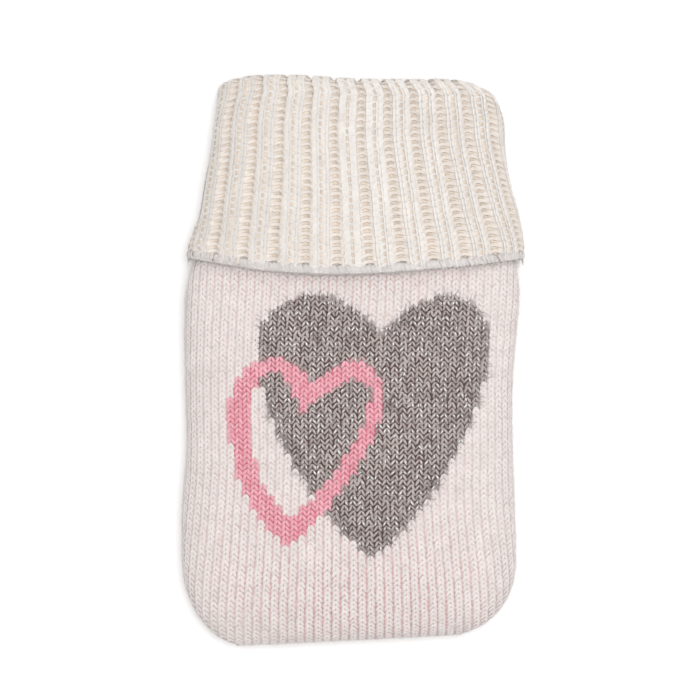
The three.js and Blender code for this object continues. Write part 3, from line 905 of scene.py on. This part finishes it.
def loop_faces(rows, columns, rows_close):
    """Four-cornered faces over a grid of points whose rows are closed loops."""
    row = np.arange(rows if rows_close else rows - 1)[:, None]
    column = np.arange(columns)[None, :]
    beyond, beside = (row + 1) % rows, (column + 1) % columns
    corners = [row * columns + column, row * columns + beside, beyond * columns + beside]
    corners.append(beyond * columns + column)
    return np.stack(np.broadcast_arrays(*corners), axis=-1).reshape(-1, 4)


def end_faces(start, columns):
    """Faces across the thickness of a panel at its first or last loop."""
    column = np.arange(columns // 2 - 1)
    facing = columns - 1 - column
    return start + np.stack([column, column + 1, facing - 1, facing], axis=-1)


def sheet_piece(name, loops, faces, colours):
    """A sheet's mesh, with the colour of the gaps stored on its points."""
    opaque = np.ones((*colours.shape[:2], 1))
    colours = np.concatenate([colours, opaque], axis=-1).reshape(-1, 4)
    return mesh_piece(name, loops.reshape(-1, 3), faces, None, {"gap_colour": colours})


def panel_sheet(name, is_front):
    """A panel's cloth: every loop runs across its outer skin and back across its inner skin. The gap
    colours fade to the pale one towards the rim, by |across|^SIDE_FADE and (turn / (pi / 2))^FOOT_FADE."""
    straight = np.linspace(JOIN_ALONG, CORNER_ALONG, PANEL_ROWS)
    turns = np.linspace(0.0, np.pi / 2, FOOT_ROWS)[1:]
    along = np.concatenate([straight, np.full(len(turns), CORNER_ALONG)])[:, None]
    turn = np.concatenate([np.zeros(len(straight)), turns])[:, None]
    across = np.cos(np.linspace(0.0, np.pi, PANEL_COLUMNS))[None, :]
    outer = panel_skin(along, turn, across, SHEET_SUNK, is_front)
    inner = panel_skin(along, turn, across, CLOTH, is_front)[:, ::-1]
    loops = np.concatenate([outer, inner], axis=1)
    rows, columns = loops.shape[:2]
    walls = loop_faces(rows, columns, False)
    first, last = end_faces(0, columns), end_faces((rows - 1) * columns, columns)
    faces = np.concatenate([walls, first[:, ::-1], last])
    if not is_front:
        faces = faces[:, ::-1]
    near_rim = np.maximum(np.abs(across) ** SIDE_FADE, (turn / (np.pi / 2)) ** FOOT_FADE)
    near_rim = np.concatenate([near_rim, near_rim[:, ::-1]], axis=1)
    return sheet_piece(name, loops, faces, mixed(gap_colours(loops, is_front), GAP_PALE, near_rim))


def cuff_sheet(name):
    """The cuff's cloth: an outer skin from the hem over the fold to the join, and an inner skin back. It is
    beige in the channels and in the holes down the middle of each rib: painted shade on the cream cloth."""
    end = CUFF_OUTSIDE + CUFF_OVER + CUFF_INSIDE
    up = np.linspace(CUFF_SHEET_FROM, CUFF_OUTSIDE, OUTSIDE_ROWS)
    over = CUFF_OUTSIDE + np.linspace(0.0, CUFF_OVER, OVER_ROWS)
    down = np.linspace(over[-1], end, INSIDE_ROWS)
    runs = np.concatenate([up[:-1], over, down[1:]])
    share = (np.arange(RIB_COUNT)[:, None] + SHEET_PLACES).ravel() / RIB_COUNT
    sunk = np.broadcast_to(rib_sunk(share), (len(runs), len(share)))
    outer = cuff_run(runs, share, sunk + CUFF_SHEET_SUNK)
    inner = cuff_run(runs[::-1], share, np.full_like(sunk, CUFF_SHEET_INNER))
    loops = np.concatenate([outer, inner])
    faces = loop_faces(len(loops), len(share), True)[:, ::-1]
    # Painted shade, strongest in the middle of the channels and in the holes.
    from_channel = np.abs((share * RIB_COUNT) % 1.0 - 0.5)
    beige = np.interp(from_channel, BEIGE_SHADE_PLACES, BEIGE_SHADE_SHARES)
    beige = np.broadcast_to(beige, loops.shape[:2])
    return sheet_piece(name, loops, faces, mixed(RIB_PALE, GAP_BEIGE_SHADE, beige))


def sheet_measures(piece):
    """Surface in square mm, the sum of |ab x ac| / 2 over the triangles, and volume in cubic mm, the sum of
    a . (b x c) / 6, which is positive if the faces point out."""
    mesh = piece.data
    mesh.calc_loop_triangles()
    corners = np.empty(len(mesh.loop_triangles) * 3, dtype=np.int32)
    mesh.loop_triangles.foreach_get("vertices", corners)
    points = np.empty(len(mesh.vertices) * 3, dtype=np.float32)
    mesh.vertices.foreach_get("co", points)
    a, b, c = points.reshape(-1, 3)[corners.reshape(-1, 3)].transpose(1, 0, 2) / MM
    double = np.cross(b - a, c - a)
    return np.linalg.norm(double, axis=1).sum() / 2, (a * np.cross(b, c)).sum() / 6


front_sheet = panel_sheet("front_cloth", True)
back_sheet = panel_sheet("back_cloth", False)
cuff_cloth = cuff_sheet("cuff_cloth")
for sheet in (front_sheet, back_sheet, cuff_cloth, *stitch_pieces.values()):
    surface, volume = sheet_measures(sheet)
    print(sheet.name, "surface", round(float(surface)), "mm2, volume", round(float(volume)), "mm3")

# %% [markdown]
# Yarn is a bundle of twisted fibres. One shader group gives this to every yarn. It mixes the yarn's light
# colour and its shade half and half, and then goes towards one or the other by several parts: ridges that
# wind round the strand, streaks that run along it and the strand's crest, all read from the strand's own UV
# map; fine fibres and wide clouds, from noises in the piece's own coordinates; and a slight difference from
# strand to strand, from a value stored on each strand. Two of these parts are painted light. The ridges are
# darker in their grooves, as painted shade. The crest part makes the top of each strand lighter than its
# sides, as a painted highlight, or where it is below 0 makes the sides lighter, as painted light against the
# shade in the creases between strands.

# %% Shader group for twisted yarn
RIDGES_ROUND = 2.0
# Painted shade: how much darker the grooves between the yarn's ridges are painted.
RIDGE_SHADE_CONTRAST = 0.10
RIDGE_RELIEF = 0.35
CLOUD_CONTRAST = 0.8
STREAK_PLACES = {"X": 1.6, "Y": 9.0, "Z": 60.0}


def socket(group, name, direction, kind):
    """Adds a named input or output to a group."""
    group.interface.new_socket(name=name, in_out=direction, socket_type="NodeSocket" + kind)


def node(tree, kind, settings=None, **values):
    """Adds a node, with settings as its properties and values as its input sockets."""
    made = tree.nodes.new(kind)
    for name, value in (settings or {}).items():
        setattr(made, name, value)
    for name, value in values.items():
        made.inputs[name.replace("_", " ")].default_value = value
    return made


def maths(tree, operation, first, second=0.0):
    """A Math node whose inputs are links or plain numbers."""
    made = node(tree, "ShaderNodeMath", {"operation": operation})
    for index, source in enumerate((first, second)):
        if isinstance(source, (int, float)):
            made.inputs[index].default_value = source
        else:
            tree.links.new(source, made.inputs[index])
    return made.outputs[0]


def plus(tree, first, *others):
    """The sum of all the values."""
    for other in others:
        first = maths(tree, "ADD", first, other)
    return first


def times(tree, first, second):
    """The product of two values."""
    return maths(tree, "MULTIPLY", first, second)


def swing(tree, source, size):
    """(source - 0.5) * size: a part that goes both ways from nothing."""
    return times(tree, maths(tree, "SUBTRACT", source, 0.5), size)


def colour_mix(tree, share, first, second):
    """(1 - share) * first + share * second. A colour mix has its two colours on sockets 6 and 7."""
    made = node(tree, "ShaderNodeMix", {"data_type": "RGBA"})
    for place, source in (("Factor", share), (6, first), (7, second)):
        tree.links.new(source, made.inputs[place])
    return made.outputs[2]


def build_twisted_yarn():
    """With u along the strand and v round it from its crest, the shade's share in the colour is 0.5 + fibres
    + streaks + strand + clouds - 0.10 * ridge - Crest * cos(2 pi v), where the ridge is sin(2 pi (Turns * u +
    2 v)). Height is 0.35 * ridge + the fine fibres. The ridge part is painted shade in the grooves. The Crest
    part is a painted highlight on the crest, or painted light on the sides where Crest is below 0."""
    group = bpy.data.node_groups.new("twisted_yarn", "ShaderNodeTree")
    for name in ("Light", "Shade"):
        socket(group, name, "INPUT", "Color")
    for name in ("Turns", "Fibre Contrast", "Strand Contrast", "Crest", "Streak Contrast"):
        socket(group, name, "INPUT", "Float")
    socket(group, "Color", "OUTPUT", "Color")
    socket(group, "Height", "OUTPUT", "Float")
    put = group.nodes.new("NodeGroupInput").outputs
    out = group.nodes.new("NodeGroupOutput").inputs
    link = group.links.new
    strand = node(group, "ShaderNodeUVMap", {"uv_map": "strand"})
    parts = node(group, "ShaderNodeSeparateXYZ")
    link(strand.outputs["UV"], parts.inputs[0])
    u, v = parts.outputs["X"], parts.outputs["Y"]
    place = node(group, "ShaderNodeTexCoord").outputs["Object"]
    tone = node(group, "ShaderNodeAttribute", {"attribute_name": "tone"}).outputs["Fac"]

    wound = times(group, u, put["Turns"])
    phase = plus(group, wound, times(group, v, RIDGES_ROUND))
    ridge = maths(group, "SINE", times(group, phase, 2 * np.pi))
    crest = maths(group, "COSINE", times(group, v, 2 * np.pi))

    fibres = node(group, "ShaderNodeTexNoise", None, Scale=2600.0, Detail=3.0, Roughness=0.6)
    clouds = node(group, "ShaderNodeTexNoise", None, Scale=210.0, Detail=2.0, Roughness=0.5)
    link(place, fibres.inputs["Vector"])
    link(place, clouds.inputs["Vector"])

    lane = node(group, "ShaderNodeCombineXYZ")
    link(times(group, u, STREAK_PLACES["X"]), lane.inputs["X"])
    link(plus(group, times(group, v, STREAK_PLACES["Y"]), wound), lane.inputs["Y"])
    link(times(group, tone, STREAK_PLACES["Z"]), lane.inputs["Z"])
    streaks = node(group, "ShaderNodeTexNoise", None, Scale=1.0, Detail=2.0, Roughness=0.6)
    link(lane.outputs[0], streaks.inputs["Vector"])

    # Painted shade: the ridge part darkens the grooves between the ridges.
    shade = plus(
        group,
        swing(group, fibres.outputs["Fac"], put["Fibre Contrast"]),
        swing(group, streaks.outputs["Fac"], put["Streak Contrast"]),
        swing(group, tone, put["Strand Contrast"]),
        swing(group, clouds.outputs["Fac"], CLOUD_CONTRAST),
        times(group, ridge, -RIDGE_SHADE_CONTRAST),
        0.5,
    )
    # Painted light: the crest part lightens the crest, or the sides where Crest is below 0.
    shade = maths(group, "SUBTRACT", shade, times(group, crest, put["Crest"]))
    share = node(group, "ShaderNodeClamp")
    link(shade, share.inputs["Value"])
    link(colour_mix(group, share.outputs[0], put["Light"], put["Shade"]), out["Color"])
    link(plus(group, times(group, ridge, RIDGE_RELIEF), fibres.outputs["Fac"]), out["Height"])
    return group


TWISTED_YARN = build_twisted_yarn()
print("yarn group outputs", [s.name for s in TWISTED_YARN.interface.items_tree if s.in_out == "OUTPUT"])

# %% [markdown]
# Light goes through wool, so the crease between two strands is hardly darker than their crests. A second
# group gives this. It mixes the surface's own normal with a soft one, which is the direction away from the
# cloth as it is stored on the points, lifted a little towards the lamp overhead. A face that looks the other
# way, on the underside of a strand, keeps its own normal.

# %% Shader group for soft light on yarn
UNDERSIDE_FROM = -0.4
UNDERSIDE_TO = 0.1
SOFT_LIFT = 0.7


def build_soft_normal():
    """Normal is (1 - m) * surface + m * soft at a length of 1. soft is away + Lift * up, and m is the
    Softness times a part that rises from 0 to 1 as surface . soft goes from UNDERSIDE_FROM to UNDERSIDE_TO.
    A vector mix has its two vectors on sockets 4 and 5."""
    group = bpy.data.node_groups.new("soft_normal", "ShaderNodeTree")
    socket(group, "Softness", "INPUT", "Float")
    socket(group, "Lift", "INPUT", "Float")
    socket(group, "Normal", "OUTPUT", "Vector")
    put = group.nodes.new("NodeGroupInput").outputs
    out = group.nodes.new("NodeGroupOutput").inputs
    link = group.links.new
    surface = node(group, "ShaderNodeNewGeometry").outputs["Normal"]
    away = node(group, "ShaderNodeAttribute", {"attribute_name": "away"}).outputs["Vector"]

    upward = node(group, "ShaderNodeCombineXYZ")
    lifted = node(group, "ShaderNodeVectorMath", {"operation": "ADD"})
    into_world = {"vector_type": "NORMAL", "convert_from": "OBJECT", "convert_to": "WORLD"}
    soft = node(group, "ShaderNodeVectorTransform", into_world)
    link(put["Lift"], upward.inputs["Z"])
    link(away, lifted.inputs[0])
    link(upward.outputs[0], lifted.inputs[1])
    link(lifted.outputs[0], soft.inputs[0])

    facing = node(group, "ShaderNodeVectorMath", {"operation": "DOT_PRODUCT"})
    outside = node(group, "ShaderNodeMapRange", None, From_Min=UNDERSIDE_FROM, From_Max=UNDERSIDE_TO)
    link(surface, facing.inputs[0])
    link(soft.outputs[0], facing.inputs[1])
    link(facing.outputs["Value"], outside.inputs["Value"])

    between = node(group, "ShaderNodeMix", {"data_type": "VECTOR"})
    even = node(group, "ShaderNodeVectorMath", {"operation": "NORMALIZE"})
    link(times(group, outside.outputs[0], put["Softness"]), between.inputs[0])
    link(surface, between.inputs[4])
    link(soft.outputs[0], between.inputs[5])
    link(between.outputs[1], even.inputs[0])
    link(even.outputs[0], out["Normal"])
    return group


SOFT_NORMAL = build_soft_normal()
print("soft normal's inputs", [s.name for s in SOFT_NORMAL.interface.items_tree if s.in_out == "INPUT"])

# %% [markdown]
# Each yarn takes the two groups with its own colours and contrasts. Wool scatters light at grazing angles, so
# the shader has a little sheen. The roughness and the sheen are plain numbers on their sockets.

# %% Yarn materials
YARN_TURNS = 1.2
YARN_RELIEF = 0.00006


def yarn_material(
    name, light, shade, fibre=1.0, strand=0.3, crest=0.3, streak=0.5, soft=0.0, relief=YARN_RELIEF
):
    """A yarn of two colours, light and shade. fibre, strand, crest and streak are the contrasts of those
    parts. crest is painted light: above 0 it is a painted highlight on the crest, and below 0 the crest is
    darker than the sides, as painted light on the sides against the shade in the creases. soft is the share
    of the soft normal, and relief the depth of the bumps in metres."""
    material = bpy.data.materials.new(name)
    material.use_nodes = True
    tree = material.node_tree
    shader = tree.nodes["Principled BSDF"]
    shader.inputs["Roughness"].default_value = 0.88
    shader.inputs["Specular IOR Level"].default_value = 0.2
    shader.inputs["Sheen Weight"].default_value = 0.2
    shader.inputs["Sheen Roughness"].default_value = 0.5
    yarn = node(
        tree, "ShaderNodeGroup", {"node_tree": TWISTED_YARN}, Light=(*light, 1.0), Shade=(*shade, 1.0),
        Turns=YARN_TURNS, Fibre_Contrast=fibre, Strand_Contrast=strand, Crest=crest, Streak_Contrast=streak,
    )
    lit = node(tree, "ShaderNodeGroup", {"node_tree": SOFT_NORMAL}, Softness=soft, Lift=SOFT_LIFT)
    bump = node(tree, "ShaderNodeBump", None, Strength=0.6, Distance=relief)
    tree.links.new(lit.outputs["Normal"], bump.inputs["Normal"])
    tree.links.new(yarn.outputs["Color"], shader.inputs["Base Color"])
    tree.links.new(yarn.outputs["Height"], bump.inputs["Height"])
    tree.links.new(bump.outputs["Normal"], shader.inputs["Normal"])
    return material


# Ivory: a faint painted highlight on each strand's crest.
IVORY_YARN = yarn_material(
    "ivory_yarn", (0.79, 0.725, 0.71), (0.61, 0.555, 0.54), fibre=0.6, strand=0.16, crest=0.05, soft=0.3
)
# Rib and channel: the crests are darker than the sides, as painted light on the sides against the shade in
# the creases.
RIB_YARN = yarn_material(
    "cream_rib_yarn", (0.81, 0.774, 0.742), (0.63, 0.59, 0.558), strand=0.14, crest=-0.15, soft=0.65
)
CHANNEL_YARN = yarn_material(
    "cream_channel_yarn", (0.795, 0.74, 0.69), (0.635, 0.575, 0.52), strand=0.12, crest=-0.2, soft=0.7
)
# The hem's yarn is the rib's cream made darker and greyer: painted shade on the roll, which curves under. Its
# sides are lighter than its crest, as painted light against the shade in the creases.
SHADED_HEM_YARN = yarn_material("shaded_cream_hem_yarn", (0.69, 0.655, 0.64), (0.53, 0.50, 0.49), crest=-0.2, soft=0.4)
# Grey and pink: a strong painted highlight on each strand's crest.
GREY_YARN = yarn_material(
    "grey_yarn", (0.48, 0.425, 0.41), (0.16, 0.13, 0.125), strand=0.6, crest=0.35, streak=1.8
)
PINK_YARN = yarn_material(
    "pink_yarn", (0.79, 0.42, 0.48), (0.68, 0.22, 0.29), strand=0.5, crest=0.4, streak=1.3
)

YARN_OF_PIECE = {
    "front_ivory_upper_stitches": IVORY_YARN,
    "front_ivory_lower_stitches": IVORY_YARN,
    "front_grey_stitches": GREY_YARN,
    "front_pink_stitches": PINK_YARN,
    "back_stitches": IVORY_YARN,
    "cuff_knit_stitches": RIB_YARN,
    "cuff_purl_stitches": CHANNEL_YARN,
    "cuff_bridge_strands": RIB_YARN,
    "cuff_hem_roll": SHADED_HEM_YARN,
}
for name, piece in stitch_pieces.items():
    piece.data.materials.append(YARN_OF_PIECE[name])
print("yarns", sorted({material.name for material in YARN_OF_PIECE.values()}))

# %% [markdown]
# The sheets' material reads the gap colour that is stored on their points, which holds painted shade under
# the grey and pink yarn and in the cuff's channels and holes. A noise makes it uneven, and gives the surface
# a relief like that of the yarn further down.

# %% Cloth material
def cloth_material(name):
    """Base Color is the stored gap colour times a number between 0.82 and 1.15, from a noise."""
    material = bpy.data.materials.new(name)
    material.use_nodes = True
    tree = material.node_tree
    shader = tree.nodes["Principled BSDF"]
    shader.inputs["Roughness"].default_value = 0.95
    shader.inputs["Specular IOR Level"].default_value = 0.1
    gap = node(tree, "ShaderNodeAttribute", {"attribute_name": "gap_colour"})
    place = node(tree, "ShaderNodeTexCoord")
    patches = node(tree, "ShaderNodeTexNoise", None, Scale=420.0, Detail=3.0, Roughness=0.6)
    tree.links.new(place.outputs["Object"], patches.inputs["Vector"])
    uneven = node(tree, "ShaderNodeMapRange", None, From_Min=0.3, From_Max=0.7, To_Min=0.82, To_Max=1.15)
    tree.links.new(patches.outputs["Fac"], uneven.inputs["Value"])
    scaled = node(tree, "ShaderNodeVectorMath", {"operation": "SCALE"})
    tree.links.new(gap.outputs["Color"], scaled.inputs[0])
    tree.links.new(uneven.outputs[0], scaled.inputs["Scale"])
    tree.links.new(scaled.outputs[0], shader.inputs["Base Color"])
    bump = node(tree, "ShaderNodeBump", None, Strength=0.7, Distance=0.0002)
    tree.links.new(patches.outputs["Fac"], bump.inputs["Height"])
    tree.links.new(bump.outputs["Normal"], shader.inputs["Normal"])
    return material


CLOTH_GROUND = cloth_material("cloth_under_the_stitches")
for sheet in (front_sheet, back_sheet, cuff_cloth):
    sheet.data.materials.append(CLOTH_GROUND)
    print(sheet.name, "takes", CLOTH_GROUND.name)

# %% [markdown]
# A thin bright metal thread is spun in with the grey yarn, and it glints here and there, more in some patches
# than in others. Each glint is a flat sliver that lies on the outer side of a leg.

# %% Silver threads in the grey yarn
SILVER_SHARE = 0.27
SILVER_PATCHES = 0.20
WAVE_ACROSS = (0.55, 0.3)
WAVE_ALONG = (-0.2, 0.41)
SILVER_STATIONS = np.array([-1.0, -0.6, 0.6, 1.0])
SILVER_GAUGE = {
    "near": 0.14, "far": 0.32, "reach": 0.30, "lift": 0.03, "arch": 0.03, "dip": 0.02,
    "half_wide": 0.17, "half_thick": 0.08, "uneven": 0.14, "bluntness": 2.6,
}


def silver_slivers():
    """A lot of slivers for each side of the stitches. The chance of one in a stitch at (x, y) is
    SILVER_SHARE + SILVER_PATCHES * sin(a . (x, y)) * sin(b . (x, y)), with a and b the two waves."""
    is_grey = np.flatnonzero(front_yarn == GREY)
    places = front_lattice["middle"][is_grey, :2]
    waves = np.sin(places @ WAVE_ACROSS) * np.sin(places @ WAVE_ALONG)
    chance = SILVER_SHARE + SILVER_PATCHES * waves
    lots = []
    for leg in BOTH_SIDES:
        glinting = is_grey[rng.random(len(is_grey)) < chance]
        print("slivers on one side", len(glinting))
        lots.append(knit_legs(picked(front_lattice, glinting), SILVER_GAUGE, rng, SILVER_STATIONS, (leg,)))
    return lots


silver = strand_piece("silver_threads", silver_slivers())


def metal_thread_material(name):
    """Pale shiny thread whose roughness varies between 0.15 and 0.5, so that only parts of it glint."""
    material = bpy.data.materials.new(name)
    material.use_nodes = True
    tree = material.node_tree
    shader = tree.nodes["Principled BSDF"]
    # The thread's near-white colour is partly the silver's own and partly a painted glint: with Metallic at
    # 0.4 most of it is diffuse white, so the slivers show bright whatever they reflect.
    shader.inputs["Base Color"].default_value = (0.90, 0.90, 0.91, 1.0)
    shader.inputs["Metallic"].default_value = 0.4
    place = node(tree, "ShaderNodeTexCoord")
    wear = node(tree, "ShaderNodeTexNoise", None, Scale=1500.0, Detail=2.0)
    tree.links.new(place.outputs["Object"], wear.inputs["Vector"])
    polish = node(tree, "ShaderNodeMapRange", None, To_Min=0.15, To_Max=0.5)
    tree.links.new(wear.outputs["Fac"], polish.inputs["Value"])
    tree.links.new(polish.outputs[0], shader.inputs["Roughness"])
    return material


silver.data.materials.append(metal_thread_material("bright_metal_thread"))

# %% [markdown]
# Fine fibres stand out of the yarn all over and soften every edge. A fibre is a hair's breadth wide, so it
# is a strand of three sides. It starts in a stitch, leaves it at a slant and bends on its way. Where the grey
# borders on the ivory, longer and thicker ones cross the edge. None of them goes into the floor.

# %% Loose fibres
FIBRE_PLACES = np.array([0.0, 0.15, 0.65, 1.0])
FIBRE_WIDTH = 0.035
FIBRE_LEAN = 0.5
FIBRE_BEND = 0.35
FIBRE_ROOT = 0.25
OFF_THE_FLOOR = 2.5
EDGE_STEPS = ((2.4, 0.0), (-2.4, 0.0), (0.0, 1.6), (0.0, -1.6))
CUFF_GROUND_COLUMNS = 4 * RIB_COUNT
SHARE_STEP = 0.001
HEM_FIBRE_ROOT = 0.3


def loose_fibres(lattice, count, length, draws, lean, width):
    """Bent three-sided hairs. A hair starts FIBRE_ROOT under the skin, up to 0.5 mm across and up to 0.5 mm
    along the wale from the middle of a random stitch. For t from 0 to 1 it goes size * t along its heading,
    size * bend * t^2 to the side and size * rise * t * (1.3 - 0.6 t) out, where size is
    length * (0.5 to 1.5) and rise is lean * (0.3 to 1.3). It tapers by (1 - t^2)^(1/2)."""
    chosen = draws.integers(0, len(lattice["middle"]), count)
    root = lattice["middle"][chosen]
    sideways, down, out = (lattice[name][chosen] for name in ("sideways", "down", "out"))
    angle = draws.random(count)[:, None] * 2 * np.pi
    heading = np.cos(angle) * sideways + np.sin(angle) * down
    beside = np.cross(out, heading)
    size = length * (0.5 + draws.random(count)[:, None])
    rise = lean * (0.3 + draws.random(count)[:, None])
    bend = FIBRE_BEND * draws.standard_normal((count, 1))
    scatter = draws.random((count, 2, 1)) - 0.5
    start = root + scatter[:, 0] * sideways + scatter[:, 1] * down - FIBRE_ROOT * out
    t = FIBRE_PLACES[None, :, None]
    paths = start[:, None, :] + (size * heading)[:, None, :] * t
    paths = paths + (size * rise * out)[:, None, :] * (t * (1.3 - 0.6 * t))
    paths = paths + (size * bend * beside)[:, None, :] * (t**2)
    taper = np.broadcast_to(np.sqrt(1 - FIBRE_PLACES**2) * width, paths.shape[:2])
    points, triangles, corner_uv, away = strands(paths, taper, taper, out, HAIR)
    points[:, 2] = np.maximum(points[:, 2], PRESSED_FLAT)
    tone = np.repeat(draws.random(count), len(points) // count)
    return points, triangles, corner_uv, {"tone": tone, "away": away}


def fibre_piece(name, lattice, material, count, length, lean=FIBRE_LEAN, width=FIBRE_WIDTH):
    """Makes one piece of loose fibres that start from the stitches of a lattice."""
    piece = strand_piece(name, [loose_fibres(lattice, count, length, rng, lean, width)])
    piece.data.materials.append(material)


def cuff_places(columns):
    """Places all over the cuff, as a lattice that fibres can start from."""
    share = np.broadcast_to(np.arange(columns) / columns, (len(cuff_runs), columns))
    sunk = rib_sunk(share)
    middle = cuff_run(cuff_runs, share, sunk)
    sideways = unit(cuff_run(cuff_runs, share - SHARE_STEP, sunk) - middle)
    out = unit(cuff_run(cuff_runs, share, sunk - PROBE) - middle)
    down = unit(np.cross(sideways, out))
    names = ("middle", "sideways", "down", "out")
    return {name: grid.reshape(-1, 3) for name, grid in zip(names, (middle, sideways, down, out))}


def grey_beside_ivory():
    """The grey stitches that have an ivory one beside, above or below them."""
    middle = front_lattice["middle"]
    neighbours = [yarn_at(middle[:, 0] + right, middle[:, 1] + up) == IVORY for right, up in EDGE_STEPS]
    return (front_yarn == GREY) & np.any(neighbours, axis=0)


FINE = {"relief": 0.00001}
# The fibres keep the default crest of 0.3: a painted highlight on the top of each hair.
rib_fibre = yarn_material("rib_fibre", (0.74, 0.71, 0.69), (0.66, 0.62, 0.595), soft=0.8, **FINE)
ivory_fibre = yarn_material("ivory_fibre", (0.73, 0.69, 0.68), (0.64, 0.60, 0.59), soft=0.8, **FINE)
grey_fibre = yarn_material("grey_fibre", (0.42, 0.39, 0.385), (0.16, 0.14, 0.14), **FINE)
pink_fibre = yarn_material("pink_fibre", (0.84, 0.50, 0.54), (0.70, 0.34, 0.39), **FINE)

ivory_ground, grey_ground, pink_ground = (picked(front_lattice, front_yarn == k) for k in (IVORY, GREY, PINK))
edge_ground = picked(front_lattice, grey_beside_ivory())
back_ground = picked(back_lattice, back_lattice["middle"][:, 2] > OFF_THE_FLOOR)
cuff_ground = cuff_places(CUFF_GROUND_COLUMNS)
on_top = cuff_ground["middle"][:, 2] > OFF_THE_FLOOR
first_course = np.arange(len(on_top)) < CUFF_GROUND_COLUMNS
hem_ground = picked(cuff_ground, on_top & first_course)
hem_ground["middle"] = hem_ground["middle"] + (FIRST_COURSE - HEM_FIBRE_ROOT) * hem_ground["down"]

fibre_piece("front_ivory_fibres", ivory_ground, ivory_fibre, count=7000, length=1.7, lean=0.3)
fibre_piece("front_grey_fibres", grey_ground, grey_fibre, count=2200, length=1.6)
fibre_piece("front_grey_edge_fibres", edge_ground, grey_fibre, count=1300, length=2.1, lean=0.3, width=0.06)
fibre_piece("front_pink_fibres", pink_ground, pink_fibre, count=1300, length=1.6)
fibre_piece("back_fibres", back_ground, ivory_fibre, count=1500, length=1.7)
fibre_piece("cuff_hem_fibres", hem_ground, rib_fibre, count=1500, length=1.5, lean=0.25)
fibre_piece("cuff_fibres", picked(cuff_ground, on_top), rib_fibre, count=8000, length=1.6, lean=0.3)

# %% [markdown]
# Every piece rides on the one body. The three sheets take the places of the three solids, which are hidden.
# The stitches and fibres are listed with the sheet that they lie on, which is known by how their names begin.

# %% Attach the pieces and hide the solids
FRONT_FLAT = (0.104, 0.122)
BACK_FLAT = (0.100, 0.118)
CUFF_FLAT = (0.190, 0.101)
sheet_parts = {
    "front_panel": (front_sheet, "front_knit", FRONT_FLAT, "stretched", ("front_", "silver_")),
    "back_panel": (back_sheet, "back_knit", BACK_FLAT, "laid", ("back_",)),
    "rib_cuff": (cuff_cloth, "cuff_knit", CUFF_FLAT, "folded", ("cuff_",)),
}
for solid, (cloth, slot, flat, held, beginnings) in sheet_parts.items():
    carried = [piece for name, piece in stitch_pieces.items() if name.startswith(beginnings)]
    for piece in (cloth, *carried):
        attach(piece, "root")
    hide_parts(solid)
    print(cloth.name, "carries", [piece.name for piece in carried])
